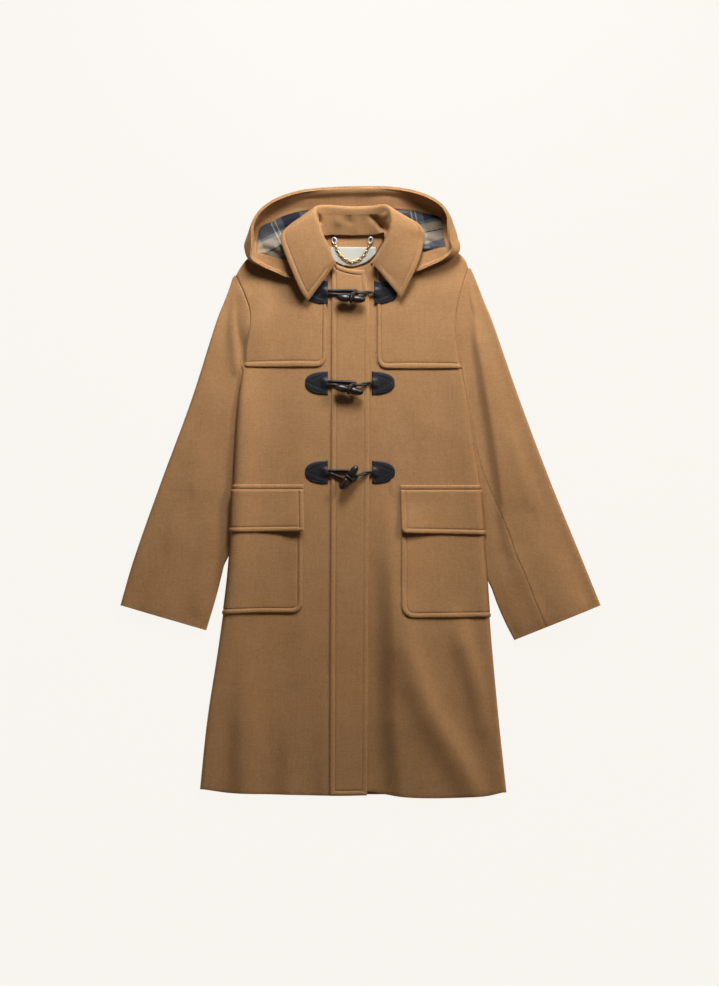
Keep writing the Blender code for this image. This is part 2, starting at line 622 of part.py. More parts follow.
def back_edge(side, row):
    """The back's side seam under the coat, then its armhole."""
    spot = side_point(side, row)
    if row <= BODY_ROWS:
        return Vector((spot.x - OUTWARD[side] * (wrap_width(row) + SEAM), spot.y))
    return Vector((spot.x - OUTWARD[side] * ARMHOLE_EASE, spot.y))


def back_surface():
    """The back, flat on the floor, from the side seams under the coat to the shoulders."""
    rows = BODY_ROWS + CAP_ROWS

    def top(u):
        if u <= BACK_SHOULDER:
            return curve_at(SHOULDER["right"], u / BACK_SHOULDER)
        if u >= 1.0 - BACK_SHOULDER:
            return curve_at(SHOULDER["left"], (1.0 - u) / BACK_SHOULDER)
        first, last = Vector(SHOULDER["right"][-1]), Vector(SHOULDER["left"][-1])
        return first.lerp(last, (u - BACK_SHOULDER) / (1.0 - 2 * BACK_SHOULDER))

    hem_first, hem_last = back_edge("right", 0), back_edge("left", 0)

    def place(column, row):
        u, v = column / BACK_COLUMNS, row / rows
        hem = hem_first.lerp(hem_last, u) - Vector((0.0, BACK_HEM_SAG * math.sin(math.pi * u)))
        spot = patch_point(
            hem, top(u), back_edge("right", row), back_edge("left", row), u, v,
            (hem_first, hem_last, Vector(SHOULDER["right"][0]), Vector(SHOULDER["left"][0])),
        )
        return Vector((spot.x, spot.y, FLOOR_LAYER))

    return turned_up(grid(BACK_COLUMNS, rows, place))


# ================================================================ sleeves
def sleeve_levels(side, v):
    """Ends of the upper layer at v, 0 at the cuff to 1 at the armhole: inner and outer point, and
    the height of the upper layer at each. The sections turn from the cuff's line to the line from
    armpit to shoulder tip at HEAD_START, and the sleeve head bulges from that one."""
    station = min(1.0, v / HEAD_START)
    inner_edge = curve_at(SLEEVE_EDGES[side]["inner"], station)
    outer_edge = curve_at(SLEEVE_EDGES[side]["outer"], station)
    across = (outer_edge - inner_edge).normalized()
    near = smooth((station - 0.82) / 0.18)
    roll = SLEEVE_ROLL[side]
    inner_level = roll.inner + (fold_level(ARMPIT_Y) - roll.inner) * near
    outer_level = roll.outer + (SHOULDER_LEVEL - roll.outer) * near
    inner = inner_edge + across * ((inner_level - FLOOR_LAYER) / 2 + MELTON / 2)
    outer = outer_edge - across * ((outer_level - FLOOR_LAYER) / 2 + MELTON / 2)
    return inner, outer, inner_level, outer_level


def sleeve_flat(side, w, v):
    """Place on the sleeve, seen from above: w across it, 0 inner to 1 outer, v along it."""
    inner, outer, _, _ = sleeve_levels(side, v)
    spot = inner.lerp(outer, w)
    end_inner, end_outer, _, _ = sleeve_levels(side, 1.0)
    at_armpit = (1.0 - w) ** 8
    seam = curve_at(ARMHOLE[side], w) + Vector((OUTWARD[side] * 2 * SEAM, -SEAM)) * (1.0 - at_armpit)
    seam = seam + (end_inner - curve_at(ARMHOLE[side], 0.0)) * at_armpit
    pull = max(0.0, (v - HEAD_START) / (1.0 - HEAD_START))
    return spot + (seam - end_inner.lerp(end_outer, w)) * pull


def sleeve_height(side, w, v):
    """Middle of the sleeve's upper layer."""
    inner, outer, inner_level, outer_level = sleeve_levels(side, v)
    width = (outer - inner).length
    spot = sleeve_flat(side, w, v)
    roll = SLEEVE_ROLL[side]
    from_inner = math.exp(-((w * width / roll.inner_reach) ** 2))
    from_outer = math.exp(-(((1.0 - w) * width / roll.outer_reach) ** 2))
    level = SLEEVE_LEVEL + (inner_level - SLEEVE_LEVEL) * from_inner
    level += (outer_level - SLEEVE_LEVEL) * from_outer
    level += fold_height(SLEEVE_FOLDS[side], spot.x, spot.y) * (1.0 - from_inner) * (1.0 - from_outer)
    level = max(level, FLOOR_LAYER + MELTON + 0.0008)
    joined = front_height(side, spot.x - OUTWARD[side] * 0.001, spot.y)
    near = smooth((v - 0.75) / 0.25)
    edge = min(1.0, 8.0 * min(w, 1.0 - w))
    return level + (joined - level) * near * edge


def sleeve_round(side, place, v):
    """A point of the sleeve's ring. place counts steps: 0 to 1 across the upper layer, the outer
    fold to 2, back across the lower layer to 3, and the inner fold to 4."""
    if place <= 1.0:
        spot = sleeve_flat(side, place, v)
        return Vector((spot.x, spot.y, sleeve_height(side, place, v)))
    if 2.0 <= place <= 3.0:
        spot = sleeve_flat(side, 3.0 - place, v)
        return Vector((spot.x, spot.y, FLOOR_LAYER))
    w = 1.0 if place < 2.0 else 0.0
    spot = sleeve_flat(side, w, v)
    inner, outer, _, _ = sleeve_levels(side, v)
    across = (outer - inner).normalized() * (1.0 if w else -1.0)
    radius = (sleeve_height(side, w, v) - FLOOR_LAYER) / 2
    turn = place - 1.0 if w else 4.0 - place
    angle = math.pi / 2 - math.pi * turn
    out = across * radius * math.cos(angle)
    return Vector((spot.x + out.x, spot.y + out.y, FLOOR_LAYER + radius + radius * math.sin(angle)))


def ring_places(side, v, first, last):
    """Places on the sleeve's ring of a piece's columns, between the seams named by first, last."""
    inner, outer, _, _ = sleeve_levels(side, v)
    width = (outer - inner).length
    folds = [k / FOLD_STEPS for k in range(1, FOLD_STEPS)]
    under_in, under_out = UNDER_SEAM_IN / width, UNDER_SEAM_OUT / width
    if first == "under_in":      # round the inner fold, over the top, round the outer fold
        top = [k / CAP_ROWS for k in range(CAP_ROWS + 1)]
        inner_turn, outer_turn = [3.0 + f for f in folds], [1.0 + f for f in folds]
        return [3.0 - under_in, 3.0, *inner_turn, *top, *outer_turn, 2.0, 2.0 + under_out]
    if first == "front":         # from the seam on top to the one under the outer fold
        seam = table_at(LEFT_FRONT_SEAM, v) + RAISED_SEAM / width
        top = [seam + (1.0 - seam) * k / (CAP_ROWS - 1) for k in range(CAP_ROWS)]
        return top + [1.0 + f for f in folds] + [2.0, 2.0 + under_out]
    gap = SEAM / width
    if last == "under_in":       # flat on the floor between the two lower seams
        start, end = 2.0 + under_out + gap, 3.0 - under_in - gap
        return [start + (end - start) * k / UNDER_COLUMNS for k in range(UNDER_COLUMNS + 1)]
    seam = table_at(LEFT_FRONT_SEAM, v)
    start = 2.0 + under_out + gap
    flat = [start + (3.0 - start) * k / UNDER_COLUMNS for k in range(UNDER_COLUMNS + 1)]
    return flat + [3.0 + f for f in folds] + [0.0, seam / 2, seam]


def sleeve_surface(side, first, last):
    columns = len(ring_places(side, 0.0, first, last)) - 1

    def place(column, row):
        v = row / SLEEVE_ROWS
        return sleeve_round(side, ring_places(side, v, first, last)[column], v)

    return turned_up(grid(columns, SLEEVE_ROWS, place))


# ================================================================ collar and hood
def collar_point(share, ring):
    """Point of the collar: share along it, ring 0 at the neck seam, over the roll to the last one
    on the outer edge."""
    seam, roll, edge = (
        curve_at_rows([getattr(row, part) for row in COLLAR_SECTIONS], share) for part in Collar._fields
    )
    middle = (seam + edge) / 2
    outward = (roll - middle).normalized()
    stand = seam - edge
    stand = (stand - outward * stand.dot(outward)).normalized()
    before = roll - outward * ROLL_RADIUS + stand * ROLL_RADIUS
    after = roll - outward * ROLL_RADIUS - stand * ROLL_RADIUS
    ends = {"stand": (seam, before), "roll": (roll, roll), "fall": (after, edge)}
    part, reach = COLLAR_LINE[ring]
    return ends[part][0].lerp(ends[part][1], reach)


def collar_surface():
    rings = len(COLLAR_LINE) - 1
    return turned_up(grid(COLLAR_ROWS, rings, lambda column, row: collar_point(column / COLLAR_ROWS, row)))


def curve_at_rows(points, share):
    """Point of the smooth curve through the points, each one row further along."""
    points = [Vector(p) for p in points]
    return hermite(list(range(len(points))), points, share * (len(points) - 1))


def ground_under_hood(x, y):
    """What the hood's cloth lies on: the floor behind the shoulders, the coat before them."""
    line = table_at(SHOULDER_LINE, x)
    return COAT_TOP * smooth((line + CLIMB_BEHIND - y) / CLIMB_LENGTH)


def hood_point(share, ring):
    """Middle of the hood's outer cloth: ring 0 on the rim, down the wall to its foot at 3, the
    facing's inner edge above 4, and the neck seam at the last ring."""
    rows = [row.rim for row in HOOD_SECTIONS]
    rim = curve_at_rows(rows, share)
    ahead = curve_at_rows(rows, min(1.0, share + 0.01))
    behind = curve_at_rows(rows, max(0.0, share - 0.01))
    along = (ahead - behind).xy.normalized()
    out = Vector((-along.y, along.x, 0.0))
    bulge, foot, facing = (
        curve_at_rows([(getattr(row, part), 0.0, 0.0) for row in HOOD_SECTIONS], share).x
        for part in ("bulge", "foot", "facing")
    )
    seam = curve_at_rows([(*row.seam, 0.0) for row in HOOD_SECTIONS], share)
    edge = rim + out * facing

    def on_ground(spot):
        return Vector((spot.x, spot.y, ground_under_hood(spot.x, spot.y) + MELTON / 2))

    if ring >= FACING_RINGS:
        across = (ring - FACING_RINGS) / (HOOD_RINGS - FACING_RINGS)
        return on_ground(edge.lerp(seam, across))
    low = on_ground(rim + out * foot)
    drop = rim.z - low.z
    share_down, share_bulge, share_foot = HOOD_WALL[ring]
    spot = rim + out * (bulge * share_bulge + foot * share_foot)
    return Vector((spot.x, spot.y, rim.z - drop * share_down))


def hood_surface():
    return turned_up(grid(HOOD_ROWS, HOOD_RINGS, lambda column, row: hood_point(column / HOOD_ROWS, row)))


def hood_inside(surface, first, last, distance):
    """The rings first to last of the hood's surface, moved to its inside, without the columns
    that the collar covers. A sheet that starts at a seam is drawn in from it."""
    inside = moved_out(surface, distance)
    row_of, column_of = inside.verts.layers.int["row"], inside.verts.layers.int["column"]
    if first > 0:
        spots = {(vert[column_of], vert[row_of]): vert.co.copy() for vert in inside.verts}
        for vert in inside.verts:
            if vert[row_of] == first:
                ahead = spots[vert[column_of], first + 1] - vert.co
                vert.co += ahead.normalized() * RAISED_SEAM
    gone = [
        vert for vert in inside.verts
        if not first <= vert[row_of] <= last or not COVERED < vert[column_of] < HOOD_ROWS - COVERED
    ]
    bmesh.ops.delete(inside, geom=gone, context="VERTS")
    return inside


# ================================================================ small pieces
def add_plate(name, outline, bottom, thickness, made_of):
    """A flat piece: a filled 2D curve through the outline, given its thickness."""
    shape = bpy.data.curves.new(name, "CURVE")
    shape.dimensions = "2D"
    shape.fill_mode = "BOTH"
    shape.extrude = thickness / 2
    spline = shape.splines.new("POLY")
    spline.use_cyclic_u = True
    spline.points.add(len(outline) - 1)
    for point, (x, y) in zip(spline.points, outline):
        point.co = (x, y, 0.0, 1.0)
    piece = add(name, shape, made_of)
    piece.location.z = bottom + thickness / 2
    return piece


def add_tube(name, route, radius, made_of, points):
    """A round cord along the smooth curve through the route."""
    shape = bpy.data.curves.new(name, "CURVE")
    shape.dimensions = "3D"
    shape.bevel_depth = radius
    shape.bevel_resolution = 2
    shape.use_fill_caps = True
    spline = shape.splines.new("POLY")
    spline.points.add(points - 1)
    for k, point in enumerate(spline.points):
        point.co = (*curve_at(route, k / (points - 1)), 1.0)
    return add(name, shape, made_of)


def add_patch(name, end_x, y, bottom, outward):
    """Leather patch: a straight end at end_x, sides that draw in to a rounded tip."""
    half = PATCH_WIDTH / 2
    outline = []
    for k in range(PATCH_STEPS + 1):
        angle = math.pi / 2 * k / PATCH_STEPS
        outline.append((PATCH_LENGTH * math.sin(angle) ** PATCH_POINT, half * math.cos(angle) ** 0.8))
    outline += [(x, -width) for x, width in outline[-2::-1]]
    placed = [(end_x + outward * x, y + width) for x, width in outline]
    add_plate(name, placed if outward < 0 else placed[::-1], bottom, LEATHER, leather())


def add_toggle(name, x, y, z, turn):
    """A turned horn toggle lying on its side."""
    profile = [(radius, along) for along, radius in TOGGLE_PROFILE[::-1]]
    profile += [(radius, -along) for along, radius in TOGGLE_PROFILE[1:]]
    profile = [(0.0, TOGGLE_HALF + 0.0008)] + profile + [(0.0, -TOGGLE_HALF - 0.0008)]
    bm = bmesh.new()
    verts = [bm.verts.new((radius, 0.0, along)) for radius, along in profile]
    for a, b in zip(verts, verts[1:]):
        bm.edges.new((a, b))
    mesh = bpy.data.meshes.new(name)
    bm.to_mesh(mesh)
    bm.free()
    piece = add(name, mesh, horn())
    spin = piece.modifiers.new("turned", "SCREW")
    spin.steps = spin.render_steps = TOGGLE_SIDES
    spin.use_merge_vertices = True
    spin.merge_threshold = 0.00001
    spin.use_smooth_shade = True
    piece.location = (x, y, z)
    piece.rotation_euler = (0.0, math.pi / 2, math.radians(turn))


def add_ring(ring):
    """An oval wire ring lying on the neck facing."""
    bpy.ops.mesh.primitive_torus_add(
        major_segments=12, minor_segments=6, major_radius=1.0, minor_radius=0.35,
    )
    made = bpy.context.object
    mesh = made.data
    bpy.data.objects.remove(made, do_unlink=True)
    for vert in mesh.vertices:
        round_ = Vector((vert.co.x, vert.co.y, 0.0))
        centre = round_.normalized()
        wire = (vert.co - centre) * (RING_WIRE / 0.35)
        vert.co = Vector((centre.x * RING_HALF[0], centre.y * RING_HALF[1], 0.0)) + wire
    mesh.name = ring.name
    piece = add(ring.name, mesh, steel())
    piece.location = (ring.x, ring.y, FACING_TOP + REST + RING_WIRE)
    piece.rotation_euler.z = math.radians(ring.turn)


def add_fastening(row):
    """One row: two patches, the loop from the right one, and the toggle on its cord from the
    left one."""
    on_flap = BAND + REST if row.y > STORM_FLAP_BOTTOM else 0.0
    right_level = FRONT_LEVEL + OVERLAP_LIFT + MELTON / 2 + REST + on_flap
    left_level = FRONT_LEVEL + MELTON / 2 + REST + on_flap
    add_patch(f"patch_right_{row.row}", PATCH_RIGHT_X, row.y, right_level, -1)
    add_patch(f"patch_left_{row.row}", row.left_x, row.y, left_level, 1)
    loop_z = PLACKET_TOP + REST + LOOP_RADIUS
    start = PATCH_RIGHT_X + REST
    end_x, end_y = row.toggle_x + LOOP_PAST, row.toggle_y + row.loop_rise
    half = LOOP_RADIUS + REST
    add_tube(
        f"loop_{row.row}",
        (
            (start, row.y + half, loop_z), (start + 0.012, row.y + half, loop_z),
            ((start + end_x) / 2, (row.y + end_y) / 2 + half * 1.3, loop_z),
            (end_x - 0.006, end_y + half * 1.4, loop_z), (end_x - 0.001, end_y + half, loop_z),
            (end_x, end_y, loop_z),
            (end_x - 0.001, end_y - half, loop_z), (end_x - 0.006, end_y - half * 1.4, loop_z),
            ((start + end_x) / 2, (row.y + end_y) / 2 - half * 1.3, loop_z),
            (start + 0.012, row.y - half, loop_z), (start, row.y - half, loop_z),
        ),
        LOOP_RADIUS, cord(), LOOP_POINTS,
    )
    add_toggle(f"toggle_{row.row}", row.toggle_x, row.toggle_y, row.toggle_z, row.turn)
    axis = Vector((math.cos(math.radians(row.turn)), math.sin(math.radians(row.turn)), 0.0))
    across = Vector((axis.y, -axis.x, 0.0))
    if across.x < 0:
        across = -across
    round_waist = TOGGLE_PROFILE[0][1] + REST + CORD_RADIUS
    middle = Vector((row.toggle_x, row.toggle_y, row.toggle_z))
    start = Vector((row.left_x - REST, row.y, left_level + LEATHER + REST + CORD_RADIUS))
    edge = table_at(CENTRE_EDGE["right"], row.y)
    climb = [Vector((edge + out, row.y, PLACKET_TOP + up)) for out, up in CORD_CLIMB]
    climb = [spot for spot in climb if spot.z > start.z - REST]
    over_loop = middle + axis * 0.012 + across * 0.0108
    over_loop.z = loop_z + LOOP_RADIUS + REST + CORD_RADIUS + 0.0010
    beside = middle + axis * 0.005 + across * 0.0102 - Vector((0.0, 0.0, 0.0030))
    wrap = []
    for degrees in range(0, 200, 30):
        angle = math.radians(degrees)
        up = Vector((0.0, 0.0, round_waist * math.sin(angle)))
        wrap.append(middle + across * (round_waist * math.cos(angle)) + up)
    route = [start, *climb, over_loop, beside, *wrap]
    add_tube(f"toggle_cord_{row.row}", route, CORD_RADIUS, cord(), CORD_POINTS)


def main():
    for old in list(bpy.data.objects):
        bpy.data.objects.remove(old, do_unlink=True)
    bpy.context.scene.collection.children.link(bpy.data.collections.new(COLLECTION))
    add_sheet("back", back_surface(), MELTON, wool())
    for side in ("right", "left"):
        surface = front_surface(side)
        for name, outline, lift in (
            (f"storm_flap_{side}", STORM_FLAP[side], ON_FRONT),
            (f"pocket_{side}", POCKET[side], ON_FRONT),
            (f"pocket_flap_{side}", POCKET_FLAP[side], SECOND),
            (f"pocket_band_{side}", POCKET_BAND[side], ON_FRONT),
        ):
            sheet = cut_to(moved_out(surface, lift), rounded(outline))
            if lift == SECOND:
                lifted(sheet, FLAP_CORNER[side], FLAP_LIFT, FLAP_LIFT_REACH)
            add_sheet(name, sheet, BAND, wool(), 1.0)
        if side == "right":
            add_sheet("placket", cut_to(moved_out(surface, ON_FRONT), rounded(PLACKET)), BAND, wool(), 1.0)
        add_sheet(f"front_{side}", surface, MELTON, wool())
    add_sheet("sleeve_right_top", sleeve_surface("right", "under_in", "under_out"), MELTON, wool())
    add_sheet("sleeve_right_under", sleeve_surface("right", "under_out", "under_in"), MELTON, wool())
    add_sheet("sleeve_left_top", sleeve_surface("left", "front", "under_out"), MELTON, wool())
    add_sheet("sleeve_left_under", sleeve_surface("left", "under_out", "front"), MELTON, wool())

    surface = hood_surface()
    inside = MELTON / 2 + REST
    facing = hood_inside(surface, 0, FACING_RINGS, inside)
    lining = hood_inside(surface, FACING_RINGS, HOOD_RINGS - 1, inside)
    add_sheet("hood_facing", facing, HOOD_FACING, wool(), 1.0)
    add_sheet("hood_lining", lining, LINING, lining_cloth(), 1.0)
    add_sheet("hood", surface, MELTON, wool())
    add_sheet("collar", collar_surface(), COLLAR, wool())

    outline = [curve_at(NECK_FACING + NECK_FACING[:1], k / FACING_STEPS) for k in range(FACING_STEPS)]
    add_plate("neck_facing", outline, MELTON + REST, BAND, wool())
    add_plate("label", LABEL, FACING_TOP + REST, LINING, label_cloth())
    for ring in RINGS:
        add_ring(ring)
    route = [(x, y, LABEL_TOP + REST + CHAIN_RADIUS) for x, y in CHAIN_ROUTE]
    add_tube("neck_chain", route, CHAIN_RADIUS, brass(), CHAIN_POINTS)
    for row in FASTENINGS:
        add_fastening(row)


main()
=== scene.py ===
"""Looks of a duffle coat that lies flat on its back: melton, check lining, stitching, leather, horn
and metal.

Metres, +Z up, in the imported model's frame. "right" and "left" are the wearer's, so the right front
lies at -X. The garment's sections are those of the solids, at a finer step.
"""

import bisect
import functools
import math
from collections import namedtuple

import bmesh
import bpy
from mathutils import Matrix, Vector, noise


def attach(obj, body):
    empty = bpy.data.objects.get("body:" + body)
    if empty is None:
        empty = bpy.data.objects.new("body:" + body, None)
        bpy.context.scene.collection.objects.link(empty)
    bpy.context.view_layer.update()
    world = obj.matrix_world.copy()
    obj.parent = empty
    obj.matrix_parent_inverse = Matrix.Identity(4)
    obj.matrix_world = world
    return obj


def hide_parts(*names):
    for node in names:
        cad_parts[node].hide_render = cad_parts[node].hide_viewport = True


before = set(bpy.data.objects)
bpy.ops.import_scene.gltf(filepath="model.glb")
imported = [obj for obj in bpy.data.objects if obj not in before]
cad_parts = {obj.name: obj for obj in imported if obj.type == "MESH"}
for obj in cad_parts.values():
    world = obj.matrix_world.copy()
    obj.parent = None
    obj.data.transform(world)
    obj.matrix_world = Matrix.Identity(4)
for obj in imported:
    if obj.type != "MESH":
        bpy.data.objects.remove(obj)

bl_info = {
    "name": "Duffle coat",
    "version": (1, 0, 0),
    "blender": (4, 5, 0),
    "location": "3D View > Sidebar > Coat",
    "description": "A camel duffle coat laid flat, piece by piece",
    "category": "Object",
}

# -------- cloth
MELTON = 0.0025
BAND = 0.002
LINING = 0.001
COLLAR = 0.003
SEAM = 0.0004
REST = 0.0003
ARMHOLE_EASE = 0.0012
FLOOR_LAYER = MELTON / 2
FRONT_LEVEL = 0.0056
OVERLAP_LIFT = MELTON + 0.0005
SHOULDER_LEVEL = MELTON + REST + MELTON / 2
ARMHOLE_LEVEL = 0.007
ON_FRONT = MELTON / 2 + REST
SECOND = ON_FRONT + BAND + REST

# -------- steps of the solids' grids
BODY_ROWS, CAP_ROWS = 11, 7
FRONT_COLUMNS, NECK_COLUMN = 10, 6
FOLD_STEPS = 4
HEAD_START = 10 / 12
UNDER_COLUMNS = 5

# -------- body
HEM_Y = {"right": -0.52, "left": -0.5255}
ARMPIT_Y = 0.22
Level = namedtuple("Level", "y right left fold")
SIDES = (
    Level(-0.527, -0.2815, 0.2555, 0.0118),
    Level(-0.4, -0.2682, 0.242, 0.0112),
    Level(-0.259, -0.2468, 0.229, 0.0105),
    Level(-0.136, -0.2315, 0.22, 0.01),
    Level(0.01, -0.223, 0.209, 0.0096),
    Level(0.09, -0.219, 0.196, 0.009),
    Level(0.16, -0.214, 0.187, 0.0086),
    Level(0.22, -0.206, 0.176, 0.0082),
)
WRAP_AT_HEM, WRAP_AT_ARMPIT = 0.055, 0.016
OUTWARD = {"right": -1.0, "left": 1.0}
BACK_SHOULDER = 0.3
BACK_HEM_SAG = 0.006
OVERLAP_FROM, OVERLAP_TO = -0.14, -0.094
FOLD_REACH = 0.028


class Table:
    """A smooth value by place, from rows of a place and its value."""

    def __init__(self, rows):
        self.knots, self.values = zip(*rows)
        last = len(self.knots) - 1
        ends = [(max(i - 1, 0), min(i + 1, last)) for i in range(last + 1)]
        self.slopes = [
            (self.values[high] - self.values[low]) * (1.0 / (self.knots[high] - self.knots[low]))
            for low, high in ends
        ]

    def at(self, place):
        k = min(max(bisect.bisect_right(self.knots, place), 1), len(self.knots) - 1)
        span = self.knots[k] - self.knots[k - 1]
        t = (place - self.knots[k - 1]) / span
        return (
            self.values[k - 1] * (2 * t**3 - 3 * t**2 + 1)
            + self.slopes[k - 1] * (span * (t**3 - 2 * t**2 + t))
            + self.values[k] * (3 * t**2 - 2 * t**3)
            + self.slopes[k] * (span * (t**3 - t**2))
        )


class Curve(Table):
    """A smooth curve, read by its share: 0 at its first point, 1 at its last."""

    def at(self, share):
        return super().at(share * self.knots[-1])

    def heading(self, share):
        """The way that the curve takes round a share."""
        return self.at(min(1.0, share + 0.01)) - self.at(max(0.0, share - 0.01))


def numbered(points):
    """The smooth curve through points, each one row further along."""
    return Curve(enumerate(map(Vector, points)))


class Line(Curve):
    """The smooth curve through points, read by the share of its length or by a point's number."""

    def __init__(self, points):
        self.points = [Vector(point) for point in points]
        knots = [0.0]
        for a, b in zip(self.points, self.points[1:]):
            knots.append(knots[-1] + max((b - a).length, 1e-9))
        super().__init__(zip(knots, self.points))
        self.length = knots[-1]

    def at_number(self, number):
        first = min(int(number), len(self.points) - 2)
        span = self.knots[first + 1] - self.knots[first]
        return Table.at(self, self.knots[first] + span * (number - first))


def lines_of(**points_of):
    """A line for each side or edge."""
    return {name: Line(points) for name, points in points_of.items()}


def smooth(share):
    """0 to 1 with level ends."""
    share = min(1.0, max(0.0, share))
    return share * share * (3.0 - 2.0 * share)


def bell(distance, width):
    """1 at no distance, and falling away over a width."""
    return math.exp(-((distance / width) ** 2))


def even_steps(first, last, cells):
    """The ends of so many even cells between two values."""
    return [first + (last - first) * k / cells for k in range(cells + 1)]


def rise(height):
    """Straight up by a height."""
    return Vector((0.0, 0.0, height))


def at_height(spot, height):
    """The place at a height over or under a spot."""
    return Vector((spot.x, spot.y, height))


SIDE_X = {side: Table([(row.y, getattr(row, side)) for row in SIDES]) for side in OUTWARD}
FOLD_LEVEL = Table([(row.y, row.fold) for row in SIDES])
ARMHOLE_POINTS = {
    "right": ((-0.205, 0.221), (-0.201, 0.257), (-0.195, 0.29), (-0.195, 0.317),
              (-0.2045, 0.345), (-0.219, 0.3765)),
    "left": ((0.1755, 0.216), (0.1685, 0.25), (0.1665, 0.29), (0.171, 0.327),
             (0.18, 0.362), (0.189, 0.389)),
}
ARMHOLE = lines_of(**ARMHOLE_POINTS)
ARMHOLE_X = {side: Table([(y, x) for x, y in points]) for side, points in ARMHOLE_POINTS.items()}
SHOULDER = lines_of(
    right=((-0.219, 0.3765), (-0.2095, 0.3935), (-0.1965, 0.409), (-0.176, 0.4215),
           (-0.141, 0.436), (-0.078, 0.448)),
    left=((0.189, 0.389), (0.184, 0.404), (0.173, 0.416), (0.148, 0.427),
          (0.104, 0.439), (0.043, 0.452)),
)
SHOULDER_MARKS = {side: [line.at(share) for share in even_steps(0.0, 1.0, 12)] for side, line in SHOULDER.items()}
NECK = lines_of(
    right=((-0.078, 0.448), (-0.067, 0.421), (-0.046, 0.4), (-0.016, 0.3895), (0.008, 0.388)),
    left=((0.043, 0.452), (0.037, 0.424), (0.018, 0.402), (-0.012, 0.391), (-0.052, 0.388)),
)
HEM = lines_of(
    right=((-0.2745, -0.52), (-0.228, -0.5265), (-0.15, -0.529), (-0.053, -0.531), (0.0115, -0.53)),
    left=((0.249, -0.5265), (0.222, -0.5325), (0.192, -0.5345), (0.13, -0.536), (0.078, -0.534),
          (0.038, -0.528), (0.012, -0.5235), (-0.052, -0.522)),
)
CENTRE_EDGE = {
    "right": Table(((-0.53, 0.0115), (-0.2, 0.0135), (0.16, 0.0155), (0.36, 0.015), (0.388, 0.008))),
    "left": Table(((-0.522, -0.052), (0.388, -0.052))),
}
CENTRE_ENDS = {"right": (-0.53, 0.388), "left": (-0.522, 0.388)}

# A soft ridge, or a trough where its height is below 0, along a line of (x, y, height). Where a line
# runs down the coat, width is how far it reaches towards -X, and east, if it differs, towards +X.
Crease = namedtuple("Crease", "line width east", defaults=(None,))
FRONT_CREASES = {
    "right": (
        Crease(((-0.174, 0.362, 0.002), (-0.184, 0.32, 0.007), (-0.19, 0.27, 0.006)), 0.009, 0.026),
        Crease(((-0.203, -0.29, 0.002), (-0.207, -0.4, 0.008), (-0.204, -0.53, 0.0085)), 0.022, 0.034),
        Crease(((-0.128, -0.4, 0.0015), (-0.126, -0.53, 0.006)), 0.018, 0.024),
        Crease(((-0.056, -0.34, 0.001), (-0.058, -0.53, 0.005)), 0.02, 0.045),
        Crease(((-0.12, 0.16, 0.001), (-0.16, 0.08, 0.0016), (-0.185, 0.03, 0.0008)), 0.026),
    ),
    "left": (
        Crease(((0.056, -0.02, 0.002), (0.056, -0.07, 0.0065), (0.058, -0.13, 0.0125), (0.062, -0.21, 0.018),
                (0.065, -0.4, 0.019), (0.075, -0.53, 0.015)), 0.025, 0.09),
        Crease(((0.078, -0.2, 0.004), (0.082, -0.27, 0.01), (0.101, -0.335, 0.012), (0.13, -0.4, 0.012),
                (0.172, -0.47, 0.011), (0.202, -0.525, 0.0085)), 0.03, 0.021),
        Crease(((0.172, -0.225, 0.004), (0.184, -0.265, 0.011), (0.21, -0.335, 0.014), (0.232, -0.405, 0.012)),
               0.024, 0.018),
        Crease(((0.15, 0.34, 0.0015), (0.16, 0.24, 0.0015)), 0.022),
        Crease(((0.06, 0.19, 0.0004), (0.11, 0.12, 0.0014), (0.16, 0.09, 0.0006)), 0.024),
    ),
}
SLEEVE_CREASES = {
    "right": (
        Crease(((-0.226, 0.35, 0.0016), (-0.2235, 0.28, 0.0042), (-0.216, 0.215, 0.003)), 0.01, 0.007),
        Crease(((-0.3, 0.06, 0.003), (-0.33, -0.06, 0.003)), 0.03, 0.04),
        Crease(((-0.262, 0.18, 0.002), (-0.29, 0.02, 0.0022)), 0.02, 0.03),
        Crease(((-0.345, -0.1, 0.002), (-0.365, -0.2, 0.005)), 0.03, 0.06),
        Crease(((-0.262, -0.06, 0.0012), (-0.285, -0.2, 0.0022)), 0.014, 0.018),
    ),
    "left": (
        Crease(((0.2035, 0.31, 0.003), (0.206, 0.266, 0.009), (0.2185, 0.196, 0.0115), (0.2305, 0.126, 0.0125),
                (0.241, 0.056, 0.0125), (0.25, -0.014, 0.0095), (0.258, -0.09, 0.003)), 0.0095, 0.066),
        Crease(((0.318, -0.02, 0.003), (0.356, -0.11, 0.012), (0.388, -0.2, 0.018)), 0.1, 0.028),
        Crease(((0.244, -0.035, 0.001), (0.2826, -0.1365, 0.0016), (0.3194, -0.224, 0.0016)), 0.012, 0.008),
        Crease(((0.385, -0.11, 0.0018), (0.395, -0.195, 0.003)), 0.016),
        Crease(((0.262, 0.1, 0.002), (0.3, -0.02, 0.0024)), 0.012, 0.026),
    ),
}
CREASE_END = 9.0             # square of the distance, in widths, from which a crease adds nothing
DRAPE_SCALE = 16.0           # how often the cloth's faint unevenness comes back, per metre
DRAPE_HEIGHT = 0.0007
